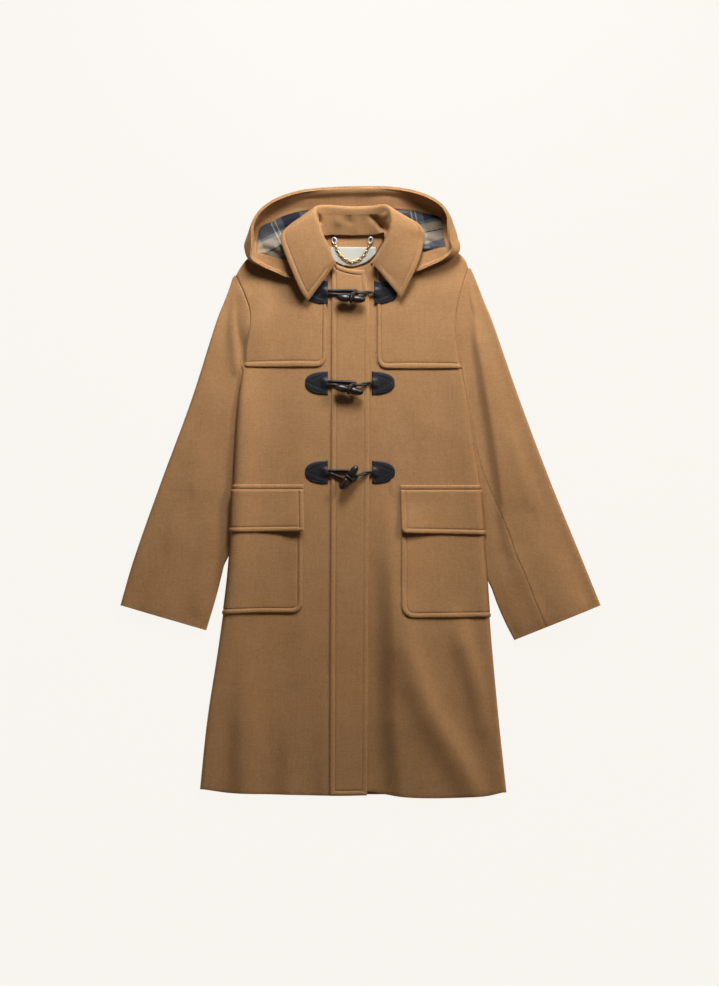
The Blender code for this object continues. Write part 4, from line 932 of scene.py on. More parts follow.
class SewnOn:
    """A piece sewn on a front. Its four sides run from the inner lower corner: along the bottom and
    the top towards the coat's side, and up the inner and the outer edge."""

    def __init__(
        self, side, bottom, top, inner, outer, lift, radius=0.0, ends="bi", corner=None, seam_at=0.0,
        free_welt=1.0,
    ):
        self.side, self.lift, self.radius, self.ends = side, lift, radius, ends
        self.bottom, self.top, self.inner, self.outer = (Line(p) for p in (bottom, top, inner, outer))
        self.corners = (self.bottom.at(0.0), self.bottom.at(1.0), self.top.at(0.0), self.top.at(1.0))
        self.width = (self.bottom.length + self.top.length) / 2
        self.height = (self.inner.length + self.outer.length) / 2
        self.corner, self.seam_at, self.free_welt = corner, seam_at, free_welt

    def plan(self, a, b):
        a, b = round_corner(a, b, self.radius) if self.radius else (a, b)
        u, v = a / self.width, b / self.height
        return coons(
            self.bottom.at(u), self.top.at(u), self.inner.at(v), self.outer.at(v), u, v, self.corners
        )

    def from_edge(self, a, b):
        """Distance from the nearest finished edge."""
        return min(
            a if "i" in self.ends else 1.0, b if "b" in self.ends else 1.0,
            self.width - a if "o" in self.ends else 1.0, self.height - b if "t" in self.ends else 1.0,
        )

    def raised(self, flat):
        """How far a free corner stands off."""
        if not self.corner:
            return 0.0
        x, y, height, reach = self.corner
        return height * bell(math.hypot(flat.x - x, flat.y - y), reach)

    def top_of(self, a, b):
        """A point of the upper face."""
        flat, edge = self.plan(a, b), self.from_edge(a, b)
        height = BAND + welt_profile(edge) * (self.free_welt if edge == a else 1.0)
        if edge < EDGE_ROUND:
            height -= EDGE_DROP * (1.0 - math.sqrt(1.0 - (1.0 - max(0.0, edge) / EDGE_ROUND) ** 2))
        if self.seam_at:
            height -= self.seam_at * bell(self.width - a, SEAM_HALF)
        return on_front(self.side, flat.x, flat.y, self.lift + height + self.raised(flat))

    def under_of(self, a, b):
        """A point of the under face."""
        flat = self.plan(a, b)
        return on_front(self.side, flat.x, flat.y, self.lift + self.raised(flat))

    def make(self, node, flat, area, rests_on):
        """The closed shell: the under face, and its copy moved to the upper one."""
        name = f"cloth_{node}"
        across = steps_across(self.width, "i" in self.ends, "o" in self.ends, self.seam_at > 0.0)
        up = steps_across(self.height, "b" in self.ends, "t" in self.ends)
        bm = bmesh.new()
        edge = bm.verts.layers.float.new("edge")
        a_of, b_of = bm.verts.layers.float.new("a"), bm.verts.layers.float.new("b")
        columns, rows = len(across) - 1, len(up) - 1
        bmesh.ops.create_grid(bm, x_segments=columns, y_segments=rows, size=0.5)
        for vert in bm.verts:
            a = across[round((vert.co.x + 0.5) * columns)]
            b = up[round((vert.co.y + 0.5) * rows)]
            vert[a_of], vert[b_of], vert[edge] = a, b, edge_glow(self.from_edge(a, b))
        made = bmesh.ops.extrude_face_region(bm, geom=bm.faces[:], use_keep_orig=True)
        upper = {item for item in made["geom"] if isinstance(item, bmesh.types.BMVert)}
        for vert in bm.verts:
            put = self.top_of if vert in upper else self.under_of
            vert.co = put(vert[a_of], vert[b_of])
        bmesh.ops.recalc_face_normals(bm, faces=bm.faces[:])
        piece = finished(name, mesh_of(name, bm), melton(), node, slot="camel_wool")
        return piece

    def stitch_run(self, path, step=0.004):
        """Points of a row of stitches through places (a, b), on the upper face."""
        points = []
        for (a0, b0), (a1, b1) in zip(path, path[1:]):
            count = max(1, int(math.hypot(a1 - a0, b1 - b0) / step))
            points += [(a0 + (a1 - a0) * k / count, b0 + (b1 - b0) * k / count) for k in range(count)]
        points.append(path[-1])
        return [self.top_of(a, b) for a, b in points]


SEWN_ROUND = 1.1             # angle that a pocket goes round the side fold


def side_past(side, y, turn):
    """A place round the side fold by this angle, along the cloth."""
    edge = level_edge(side, y)
    return (edge + OUTWARD[side] * turn * (front_height(side, edge, y) - FLOOR_LAYER) / 2, y)


def storm_flap(side):
    inner_x, bottom_y, outer_x = {"right": (-0.06, 0.2185, -0.2038), "left": (0.029, 0.2155, 0.1752)}[side]
    outer = [(outer_x, bottom_y + 0.0005)] + list(ARMHOLE_POINTS[side][1:])
    top = {
        "right": ((-0.06, 0.405), (-0.1, 0.438), (-0.141, 0.4355), (-0.176, 0.4205), (-0.1965, 0.4085),
                  (-0.2095, 0.393), (-0.219, 0.3765)),
        "left": ((0.029, 0.402), (0.06, 0.43), (0.104, 0.4385), (0.148, 0.4265), (0.173, 0.4155),
                 (0.184, 0.4035), (0.189, 0.389)),
    }[side]
    return SewnOn(
        side, [(inner_x, bottom_y), ((inner_x + outer_x) / 2, bottom_y - 0.0004), outer[0]],
        top, [(inner_x, bottom_y), top[0]], outer, ON_FRONT, radius=0.019, seam_at=0.003,
    )


def pocket(side):
    x, bottom_y, outer_y, top_y, radius = {
        "right": (-0.1015, -0.212, -0.214, -0.002, 0.018),
        "left": (0.0715, -0.2205, -0.219, -0.002, 0.022),
    }[side]
    outer = [side_past(side, y, SEWN_ROUND) for y in even_steps(outer_y, top_y, 6)]
    return SewnOn(
        side, [(x, bottom_y), ((x + outer[0][0]) / 2, bottom_y + 0.0003), outer[0]], [(x, top_y), outer[-1]],
        [(x, bottom_y), (x, top_y)], outer, ON_FRONT, radius=radius,
    )


def pocket_flap(side):
    x, bottom_y, outer_y, top_y, radius = {
        "right": (-0.0985, -0.069, -0.0705, 0.005, 0.003),
        "left": (0.0722, -0.072, -0.0755, 0.004, 0.008),
    }[side]
    top_x = {"right": -0.1, "left": 0.0695}[side]
    outer = [side_past(side, y, SEWN_ROUND) for y in even_steps(outer_y, top_y, 4)]
    return SewnOn(
        side, [(x, bottom_y), outer[0]], [(top_x, top_y), outer[-1]], [(x, bottom_y), (top_x, top_y)], outer,
        SECOND, radius=radius, corner=(x, bottom_y, 0.006, 0.04),
    )


def pocket_band(side):
    x, low, high = {"right": (-0.0995, 0.0052, 0.0132), "left": (0.069, 0.0042, 0.0122)}[side]
    outer = [side_past(side, low, SEWN_ROUND), side_past(side, high, SEWN_ROUND)]
    return SewnOn(
        side, [(x, low), outer[0]], [(x, high), outer[1]], [(x, low), (x, high)], outer, ON_FRONT, ends="bit",
    )


def placket():
    inner = [(CENTRE_EDGE["right"].at(y), y) for y in even_steps(-0.5305, 0.388, 12)]
    left = [(-0.054, -0.5312), (-0.053, -0.2), (-0.0515, 0.1), (-0.0508, 0.403)]
    return SewnOn(
        "right", [inner[0], (-0.02, -0.5312), left[0]],
        [inner[-1], (-0.016, 0.3895), (-0.036, 0.3955), left[-1]], inner, left, ON_FRONT, ends="biot",
        free_welt=0.45,
    )


# ======== sleeves
SLEEVE_LINES = {
    "right": lines_of(
        inner=((-0.27, -0.242), (-0.255, -0.192), (-0.2445, -0.152), (-0.2375, -0.118),
               (-0.2334, -0.05), (-0.231, -0.006), (-0.2266, 0.024), (-0.2204, 0.091),
               (-0.2154, 0.16), (-0.2072, 0.219)),
        outer=((-0.42, -0.198), (-0.397, -0.119), (-0.3475, 0.021), (-0.2955, 0.161),
               (-0.2505, 0.301), (-0.2365, 0.336), (-0.2285, 0.357), (-0.2225, 0.3755)),
    ),
    "left": lines_of(
        inner=((0.269, -0.259), (0.253, -0.228), (0.236, -0.188), (0.2265, -0.155),
               (0.2224, -0.08), (0.2182, 0.0), (0.209, 0.035), (0.1996, 0.08),
               (0.189, 0.16), (0.1782, 0.214)),
        outer=((0.42, -0.198), (0.388, -0.119), (0.331, 0.021), (0.278, 0.161),
               (0.229, 0.301), (0.2145, 0.336), (0.2065, 0.357), (0.197, 0.38),
               (0.192, 0.391)),
    ),
}
SLEEVE_LEVEL = 0.0062
SLEEVE_LENGTH = 0.62
Roll = namedtuple("Roll", "inner inner_reach outer outer_reach")
SLEEVE_ROLL = {"right": Roll(0.0042, 0.016, 0.0105, 0.028), "left": Roll(0.0064, 0.009, 0.012, 0.03)}
UNDER_SEAM_IN, UNDER_SEAM_OUT = 0.018, 0.03
LEFT_FRONT_SEAM = Table((
    (0.0, 0.371), (0.044, 0.38), (0.146, 0.386), (0.25, 0.36), (0.346, 0.271), (0.427, 0.167),
    (0.5, 0.08), (0.6, 0.045), (0.9, 0.045), (1.0, 0.125),
))
SLEEVE_SEAM = 0.0007
SLEEVE_OVERLAP = 0.001       # how far the sleeve goes in under the body's side fold
SLEEVE_LOWEST = FLOOR_LAYER + MELTON + 0.0008
WEDGE_OPENS = {"right": -0.132, "left": -0.172}   # level where the sleeve parts from the body
WEDGE_EASE = 0.03
SLEEVE_ROWS = [0.0, 0.0012, 0.003] + [k / 112 for k in range(1, 112)] + [0.9945, 0.9966, 0.9982, 1.0]
HEAD_TUCK = 0.45             # share of the sleeve's head, from the armpit, that runs in under the front
HEAD_DROP = {"right": 0.011, "left": 0.004}
HEAD_CHANNEL, HEAD_CHANNEL_HALF = 0.002, 0.0022   # depth and half width of the armhole's channel
RING_SPLIT = 4


@functools.cache
def sleeve_levels(side, v):
    """Ends of the upper layer at v, 0 at the cuff to 1 at the armhole, and its height at each."""
    station = min(1.0, v / HEAD_START)
    inner_edge = SLEEVE_LINES[side]["inner"].at(station)
    outer_edge = SLEEVE_LINES[side]["outer"].at(station)
    touching = smooth((inner_edge.y - WEDGE_OPENS[side]) / WEDGE_EASE) * (1.0 - smooth((station - 0.97) / 0.03))
    gap = (inner_edge.x - SIDE_X[side].at(inner_edge.y)) * OUTWARD[side] + SLEEVE_OVERLAP
    inner_edge = Vector((inner_edge.x - OUTWARD[side] * gap * touching, inner_edge.y))
    across = (outer_edge - inner_edge).normalized()
    near = smooth((station - 0.82) / 0.18)
    roll = SLEEVE_ROLL[side]
    inner_level = roll.inner + (FOLD_LEVEL.at(ARMPIT_Y) - roll.inner) * near
    outer_level = roll.outer + (SHOULDER_LEVEL - roll.outer) * near
    inner = inner_edge + across * ((inner_level - FLOOR_LAYER) / 2 + MELTON / 2)
    outer = outer_edge - across * ((outer_level - FLOOR_LAYER) / 2 + MELTON / 2)
    return inner, outer, inner_level, outer_level


def sleeve_flat(side, w, v):
    """Where the sleeve's upper layer is seen from above, w being 0 at its inner end and 1 at its outer."""
    inner, outer, _, _ = sleeve_levels(side, v)
    spot = inner.lerp(outer, w)
    pull = max(0.0, (v - HEAD_START) / (1.0 - HEAD_START))
    if pull == 0.0:
        return spot
    end_inner, end_outer, _, _ = sleeve_levels(side, 1.0)
    tuck = 0.0004 + 0.004 * smooth((HEAD_TUCK - w) / HEAD_TUCK)
    seam = ARMHOLE[side].at(w) + Vector((-OUTWARD[side] * tuck, 0.0003))
    return spot + (seam - end_inner.lerp(end_outer, w)) * pull


def sleeve_height(side, w, v):
    """Middle of the sleeve's upper layer."""
    inner, outer, inner_level, outer_level = sleeve_levels(side, v)
    width = (outer - inner).length
    spot = sleeve_flat(side, w, v)
    roll = SLEEVE_ROLL[side]
    from_inner = bell(w * width, roll.inner_reach)
    from_outer = bell((1.0 - w) * width, roll.outer_reach)
    level = SLEEVE_LEVEL + (inner_level - SLEEVE_LEVEL) * from_inner
    level += (outer_level - SLEEVE_LEVEL) * from_outer
    folds = crease_height(SLEEVE_CREASES[side], spot.x, spot.y) + drape(spot.x, spot.y, 3.0)
    level += folds * (1.0 - from_inner) * (1.0 - from_outer)
    level = max(level, SLEEVE_LOWEST)
    near = smooth((v - 0.75) / 0.25)
    if near > 0.0:
        joined = front_height(side, spot.x - OUTWARD[side] * 0.001, spot.y) + 0.0011
        joined = max(joined - HEAD_DROP[side] * smooth((HEAD_TUCK - w) / HEAD_TUCK), SLEEVE_LOWEST)
        channel = HEAD_CHANNEL * bell((1.0 - v) * SLEEVE_LENGTH, HEAD_CHANNEL_HALF)
        level += ((joined - level) * near - channel) * min(1.0, 8.0 * (1.0 - w))
    return level


def sleeve_round(side, place, v):
    """A point of the sleeve's ring: 0 to 1 over the top, the outer fold to 2, the lower layer to 3
    and the inner fold to 4."""
    place %= 4.0
    if place <= 1.0:
        return at_height(sleeve_flat(side, place, v), sleeve_height(side, place, v))
    if 2.0 <= place <= 3.0:
        return at_height(sleeve_flat(side, 3.0 - place, v), FLOOR_LAYER)
    w = 1.0 if place < 2.0 else 0.0
    spot = sleeve_flat(side, w, v)
    inner, outer, _, _ = sleeve_levels(side, v)
    across = (outer - inner).normalized() * (1.0 if w else -1.0)
    radius = (sleeve_height(side, w, v) - FLOOR_LAYER) / 2
    turn = place - 1.0 if w else 4.0 - place
    angle = math.pi * (0.5 - turn)
    spot += across * radius * math.cos(angle)
    return at_height(spot, FLOOR_LAYER + radius + radius * math.sin(angle))


@functools.cache
def ring_places(side, v, first, last):
    """Places on the ring of a piece's columns, between the seams named by first and last."""
    inner, outer, _, _ = sleeve_levels(side, v)
    width = (outer - inner).length
    folds = [k / FOLD_STEPS for k in range(1, FOLD_STEPS)]
    under_in, under_out = UNDER_SEAM_IN / width, UNDER_SEAM_OUT / width
    gap = SEAM / width
    seam = LEFT_FRONT_SEAM.at(v)
    if first == "under_in":
        top = even_steps(4.0, 5.0, CAP_ROWS)
        inner_turn, outer_turn = [3.0 + f for f in folds], [5.0 + f for f in folds]
        coarse = [3.0 - under_in, 3.0, *inner_turn, *top, *outer_turn, 6.0, 6.0 + under_out]
    elif first == "front":
        start = seam + SLEEVE_SEAM / width
        coarse = even_steps(start, 1.0, CAP_ROWS - 1) + [1.0 + f for f in folds] + [2.0, 2.0 + under_out]
    elif last == "under_in":
        start, end = 2.0 + under_out + gap, 3.0 - under_in - gap
        coarse = even_steps(start, end, UNDER_COLUMNS)
    else:
        start = 2.0 + under_out + gap
        flat = even_steps(start, 3.0, UNDER_COLUMNS)
        coarse = flat + [3.0 + f for f in folds] + [4.0, 4.0 + seam / 2, 4.0 + seam]
    fine = [place for a, b in zip(coarse, coarse[1:]) for place in even_steps(a, b, RING_SPLIT)[:-1]]
    return fine + coarse[-1:]


def sleeve_sheet(side, first, last):
    """One piece of a sleeve, between two of its seams."""
    columns = len(ring_places(side, 0.0, first, last)) - 1

    def place(column, row):
        v = SLEEVE_ROWS[row]
        at = sleeve_round(side, ring_places(side, v, first, last)[column], v)
        glow = edge_glow(SLEEVE_LENGTH * v)
        if first == "front":
            glow = max(glow, edge_glow(0.005 * column))
        return at, glow, at.xy

    return turned_up(grid(columns, len(SLEEVE_ROWS) - 1, place))


# ======== collar
Collar = namedtuple("Collar", "seam roll edge")
COLLAR_SECTIONS = (
    Collar((-0.041, 0.392, 0.0195), (-0.043, 0.396, 0.0215), (-0.092, 0.334, 0.0215)),
    Collar((-0.053, 0.403, 0.0195), (-0.049, 0.41, 0.0275), (-0.104, 0.352, 0.0285)),
    Collar((-0.066, 0.42, 0.0195), (-0.056, 0.428, 0.0335), (-0.118, 0.383, 0.0335)),
    Collar((-0.074, 0.436, 0.019), (-0.066, 0.449, 0.0385), (-0.131, 0.416, 0.0345)),
    Collar((-0.077, 0.447, 0.018), (-0.074, 0.473, 0.0415), (-0.139, 0.442, 0.033)),
    Collar((-0.073, 0.4502, 0.015), (-0.079, 0.488, 0.0405), (-0.131, 0.458, 0.029)),
    Collar((-0.066, 0.4485, 0.014), (-0.076, 0.498, 0.033), (-0.103, 0.478, 0.019)),
    Collar((-0.05, 0.45, 0.01), (-0.058, 0.5, 0.026), (-0.07, 0.474, 0.01)),
    Collar((-0.015, 0.4492, 0.0095), (-0.015, 0.4975, 0.0235), (-0.015, 0.47, 0.0085)),
    Collar((0.02, 0.4502, 0.0095), (0.018, 0.4985, 0.0245), (0.024, 0.472, 0.009)),
    Collar((0.034, 0.452, 0.012), (0.041, 0.501, 0.033), (0.06, 0.482, 0.018)),
    Collar((0.041, 0.453, 0.015), (0.051, 0.494, 0.0405), (0.094, 0.472, 0.028)),
    Collar((0.043, 0.446, 0.018), (0.054, 0.474, 0.0415), (0.11, 0.455, 0.028)),
    Collar((0.042, 0.436, 0.019), (0.05, 0.449, 0.0385), (0.11, 0.44, 0.026)),
    Collar((0.037, 0.422, 0.0195), (0.041, 0.431, 0.0335), (0.104, 0.412, 0.0265)),
    Collar((0.028, 0.407, 0.0195), (0.03, 0.414, 0.0275), (0.092, 0.382, 0.025)),
    Collar((0.017, 0.395, 0.0195), (0.018, 0.399, 0.0215), (0.071, 0.34, 0.0175)),
)
ROLL_RADIUS = 0.0032
COLLAR_LINE = (("stand", 0.0), ("stand", 0.55), ("stand", 1.0), ("roll", 0.0),
               ("fall", 0.0), ("fall", 0.5), ("fall", 1.0))
COLLAR_COLUMNS, STAND_ROWS = 128, 34
# Insets of the collar's last rows from its outer edge.
COLLAR_INSETS = (0.016, 0.0125, 0.0105, 0.0094, 0.0084, 0.0074, 0.006, 0.0042, 0.0022, 0.0)
LEAF_ARCH = 0.0022           # how far the leaves' middle stands above the straight line
LEAF_WELT = 0.85             # height of the collar's welt, as a share of the coat's
LEAF_ROW = 0.034             # share along the collar of the stitches beside its front edges
STAND_ROW = 0.455            # share up the collar's section of the row of stitches on its stand
STITCHES_FROM = 0.4          # share up the section where the front edges' rows begin
BARE_BEHIND = (66, 95)       # points of the outer row left bare behind the neck
NEAR_FRONT, FRONT_MARKS = 0.12, 60   # share beside a front edge, and the edge's points
WELT_FROM = 0.3              # share up the section where the welt begins
STAND_SHOWS, STAND_TO = (0.35, 0.8), 0.5   # shares along the collar and up its section
# The stand's faint waves: height, turn per metre and start.
STAND_WAVES = ((0.001, 150.0, 0.0), (0.0013, 260.0, 1.0))
STAND_CREASES = (
    Crease(((0.01, 0.496, -0.006), (0.029, 0.476, -0.0135), (0.044, 0.456, -0.014)), 0.006),
    Crease(((0.022, 0.5, 0.0025), (0.042, 0.486, 0.005)), 0.006),
    Crease(((-0.074, 0.492, -0.008), (-0.072, 0.47, -0.006)), 0.004),
    Crease(((-0.042, 0.494, 0.0016), (-0.04, 0.472, 0.002)), 0.008),
    Crease(((-0.02, 0.494, -0.0016), (-0.019, 0.474, -0.0022)), 0.007),
)
COLLAR_LINES = {part: numbered([getattr(row, part) for row in COLLAR_SECTIONS]) for part in Collar._fields}


@functools.cache
def collar_section(share):
    """The collar's section: from the neck seam up the stand, over the roll and down the fall."""
    seam, roll, edge = (COLLAR_LINES[part].at(share) for part in Collar._fields)
    middle = (seam + edge) / 2
    outward = (roll - middle).normalized()
    stand = seam - edge
    stand = (stand - outward * stand.dot(outward)).normalized()
    before = roll - outward * ROLL_RADIUS + stand * ROLL_RADIUS
    after = roll - outward * ROLL_RADIUS - stand * ROLL_RADIUS
    ends = {"stand": (seam, before), "roll": (roll, roll), "fall": (after, edge)}
    points = [ends[part][0].lerp(ends[part][1], reach) for part, reach in COLLAR_LINE]
    points[5] += rise(LEAF_ARCH * min(1.0, (after - edge).length / 0.05))
    return Line(points)


def collar_point(share, from_edge=None, along=None):
    """A point of the collar and its distance from the nearest stitched edge."""
    section = collar_section(share)
    if along is None:
        along = 1.0 - from_edge / section.length
    at = section.at(along)
    edge = (1.0 - along) * section.length
    for end in (0.0, 1.0):
        if abs(share - end) < NEAR_FRONT:
            front = collar_section(end)
            marks = (front.at(k / FRONT_MARKS) for k in range(FRONT_MARKS + 1))
            edge = min(edge, min((mark - at).length for mark in marks))
    if along > WELT_FROM:
        at = at + rise(LEAF_WELT * welt_profile(edge))
    if along < STAND_TO and STAND_SHOWS[0] < share < STAND_SHOWS[1]:
        wave = sum(height * math.sin(at.x * turn + start) for height, turn, start in STAND_WAVES)
        on_stand = math.sin(math.pi * min(1.0, along * 2.2))
        at = at + Vector((0.0, wave * on_stand, crease_height(STAND_CREASES, at.x, at.y) * on_stand))
    return at, edge


def collar_columns():
    """Shares along the collar, closer together at its two front edges."""
    fine = [0.0, 0.006, 0.012, 0.018, 0.024, 0.029, 0.034, 0.04, 0.048]
    middle = [fine[-1] + (1.0 - 2 * fine[-1]) * k / COLLAR_COLUMNS for k in range(1, COLLAR_COLUMNS)]
    return fine + middle + [1.0 - share for share in reversed(fine)]


def collar_sheet():
    """The collar in one sheet, from the neck seam to its outer edge."""
    shares = collar_columns()

    def place(column, row):
        share = shares[column]
        if row < STAND_ROWS:
            start = 1.0 - COLLAR_INSETS[0] / collar_section(share).length
            at, edge = collar_point(share, along=start * row / STAND_ROWS)
        else:
            at, edge = collar_point(share, from_edge=COLLAR_INSETS[row - STAND_ROWS])
        return at, edge_glow(edge) if row > 8 else 0.0, at.xy

    return turned_up(grid(len(shares) - 1, STAND_ROWS + len(COLLAR_INSETS) - 1, place))


def collar_stitches():
    """Rows round the outer and the front edges of the leaves, and one under the roll behind."""
    inset = sizes().welt
    lift = rise(COLLAR / 2)
    first, last = LEAF_ROW, 1.0 - LEAF_ROW
    outer = [collar_point(share, from_edge=inset)[0] + lift for share in even_steps(first, last, 160)]
    runs = []
    for share in (first, last):
        rows = even_steps(STITCHES_FROM, 1.0 - inset / collar_section(share).length, 24)
        runs.append([collar_point(share, along=along)[0] + lift for along in rows])
    stand = []
    for share in even_steps(0.4, 0.6, 60):
        at = collar_point(share, along=STAND_ROW)[0]
        ahead = collar_point(share + 0.004, along=STAND_ROW)[0]
        above = collar_point(share, along=STAND_ROW + 0.015)[0]
        outward = (ahead - at).cross(above - at).normalized()
        stand.append(at + outward * math.copysign(COLLAR / 2 + 0.0002, outward.z - outward.y))
    return [*runs, outer[:BARE_BEHIND[0]], outer[BARE_BEHIND[1]:], stand]


# ======== hood
Hood = namedtuple("Hood", "rim bulge foot facing seam")
HOOD_SECTIONS = (
    Hood((-0.057, 0.397, 0.015), 0.0, -0.001, -0.002, (-0.05, 0.402)),
    Hood((-0.085, 0.386, 0.0165), 0.0, -0.003, -0.008, (-0.057, 0.408)),
    Hood((-0.118, 0.375, 0.019), 0.0005, -0.006, -0.03, (-0.064, 0.416)),
    Hood((-0.148, 0.385, 0.025), 0.001, -0.006, -0.024, (-0.069, 0.426)),
    Hood((-0.174, 0.397, 0.029), 0.002, -0.004, -0.02, (-0.073, 0.436)),
    Hood((-0.191, 0.41, 0.032), 0.005, 0.0, -0.012, (-0.075, 0.444)),
    Hood((-0.19, 0.429, 0.036), 0.0115, 0.003, -0.009, (-0.073, 0.45)),
    Hood((-0.19, 0.45, 0.039), 0.006, 0.001, -0.01, (-0.066, 0.4508)),
    Hood((-0.188, 0.471, 0.04), 0.001, -0.006, -0.018, (-0.058, 0.4502)),
    Hood((-0.175, 0.492, 0.039), -0.001, -0.012, -0.029, (-0.048, 0.4498)),
    Hood((-0.1485, 0.511, 0.037), -0.002, -0.015, -0.032, (-0.038, 0.4501)),
    Hood((-0.105, 0.5255, 0.0345), -0.002, -0.016, -0.034, (-0.028, 0.4505)),
    Hood((-0.053, 0.5312, 0.0325), -0.002, -0.016, -0.034, (-0.018, 0.4508)),
    Hood((0.0, 0.5328, 0.0325), -0.002, -0.016, -0.034, (-0.008, 0.4511)),
    Hood((0.052, 0.532, 0.0335), -0.002, -0.016, -0.036, (0.004, 0.4515)),
    Hood((0.1, 0.5237, 0.036), -0.002, -0.014, -0.033, (0.016, 0.4519)),
    Hood((0.1367, 0.506, 0.039), -0.001, -0.01, -0.025, (0.026, 0.4524)),
    Hood((0.153, 0.4845, 0.041), 0.002, -0.004, -0.014, (0.034, 0.4534)),
    Hood((0.154, 0.462, 0.04), 0.009, 0.002, -0.009, (0.04, 0.454)),
    Hood((0.1555, 0.44, 0.037), 0.013, 0.004, -0.009, (0.044, 0.448)),
    Hood((0.159, 0.423, 0.033), 0.012, 0.003, -0.012, (0.043, 0.44)),
    Hood((0.146, 0.409, 0.029), 0.003, -0.003, -0.02, (0.041, 0.431)),
    Hood((0.12, 0.396, 0.025), 0.001, -0.006, -0.025, (0.037, 0.421)),
    Hood((0.091, 0.385, 0.019), 0.0005, -0.006, -0.028, (0.031, 0.413)),
    Hood((0.055, 0.385, 0.0165), 0.0, -0.003, -0.008, (0.026, 0.406)),
    Hood((0.026, 0.397, 0.015), 0.0, -0.001, -0.002, (0.02, 0.402)),
)
HOOD_RIM = numbered([row.rim for row in HOOD_SECTIONS])
HOOD_SHIFTS = numbered([(row.bulge, row.foot, row.facing) for row in HOOD_SECTIONS])
HOOD_SEAM = numbered([(*row.seam, 0.0) for row in HOOD_SECTIONS])
HOOD_WALL = ((0.0, 0.0, 0.0), (0.35, 0.75, 0.0), (0.7, 1.0, 0.25), (1.0, 0.0, 1.0))
FACING_RINGS, HOOD_RINGS = 4, 8
HOOD_FACING = 0.002
HOOD_SWAY = 0.0016
COVERED = 2 / 32             # share at each end that the collar covers
SHOULDER_LINE = Table((
    (-0.23, 0.35), (-0.213, 0.38), (-0.205, 0.394), (-0.194, 0.409), (-0.176, 0.422), (-0.141, 0.438),
    (-0.09, 0.45), (-0.074, 0.448), (-0.058, 0.44), (-0.04, 0.431), (-0.015, 0.427), (0.008, 0.431),
    (0.024, 0.44), (0.04, 0.451), (0.058, 0.454), (0.104, 0.443), (0.148, 0.43), (0.169, 0.418),
    (0.18, 0.406), (0.187, 0.392), (0.205, 0.36),
))
COAT_TOP = 0.0134
CLIMB_BEHIND, CLIMB_LENGTH = 0.022, 0.034
HOOD_COLUMNS, RING_CELLS = 224, 5
HOOD_MIDDLE = (-0.015, 0.455, 0.05)
# The lining's check on each half of the hood: its turn, and how far it is moved across and along.
CHECK_RIGHT, CHECK_LEFT = (-0.445, 0.0, 0.0), (-0.2, 0.01, 0.03)
CHECK_UP_WALL = 0.35         # how far the check moves along for each metre of height


def ground_under_hood(x, y):
    """Top of the coat where the hood lies on it, and the floor behind its shoulders."""
    return COAT_TOP * smooth((SHOULDER_LINE.at(x) + CLIMB_BEHIND - y) / CLIMB_LENGTH)


@functools.cache
def hood_section(share):
    """The hood's cloth from its rim down the wall to the foot, and on to the neck seam."""
    rim = HOOD_RIM.at(share)
    along = HOOD_RIM.heading(share).xy.normalized()
    out = Vector((-along.y, along.x, 0.0))
    bulge, foot, facing = HOOD_SHIFTS.at(share)
    seam, edge = HOOD_SEAM.at(share), rim + out * facing

    def on_ground(spot):
        return at_height(spot, ground_under_hood(spot.x, spot.y) + MELTON / 2)

    drop = rim.z - on_ground(rim + out * foot).z
    points = [
        at_height(rim + out * (bulge * share_bulge + foot * share_foot), rim.z - drop * down)
        for down, share_bulge, share_foot in HOOD_WALL
    ]
    rings = HOOD_RINGS - FACING_RINGS
    points += [on_ground(edge.lerp(seam, k / rings)) for k in range(rings + 1)]
    return Line(points)


def hood_point(share, ring):
    """A point of the hood's outer cloth."""
    spot = hood_section(share).at_number(ring)
    low = ground_under_hood(spot.x, spot.y) + MELTON / 2
    loose = smooth(ring / 1.2) * (1.0 - smooth((ring - 4.5) / 2.0))
    spot += rise(HOOD_SWAY * noise.noise(Vector((spot.x * 30.0, spot.y * 30.0, 5.0))) * loose)
    return at_height(spot, max(spot.z, low))


def hood_sheet():
    """The hood's outer cloth, with the check's own place on each half."""
    def place(column, row):
        share, ring = column / HOOD_COLUMNS, row / RING_CELLS
        at = hood_point(share, ring)
        turn, right, up = CHECK_RIGHT if at.x < HOOD_MIDDLE[0] else CHECK_LEFT
        across, along = math.cos(turn), math.sin(turn)
        u, v = at.x * across - at.y * along, at.x * along + at.y * across
        on_cloth = (u + right, v + CHECK_UP_WALL * at.z + up)
        return at, edge_glow(0.003 * row), on_cloth

    return turned_up(grid(HOOD_COLUMNS, HOOD_RINGS * RING_CELLS, place))


# How far the hood's inside stands up off its outer cloth.
INSIDE_PUFF = Table((
    (-0.205, 0.001), (-0.17, 0.006), (-0.11, 0.012), (-0.03, 0.015), (0.06, 0.014), (0.095, 0.005),
    (0.14, 0.001), (0.17, 0.0),
))
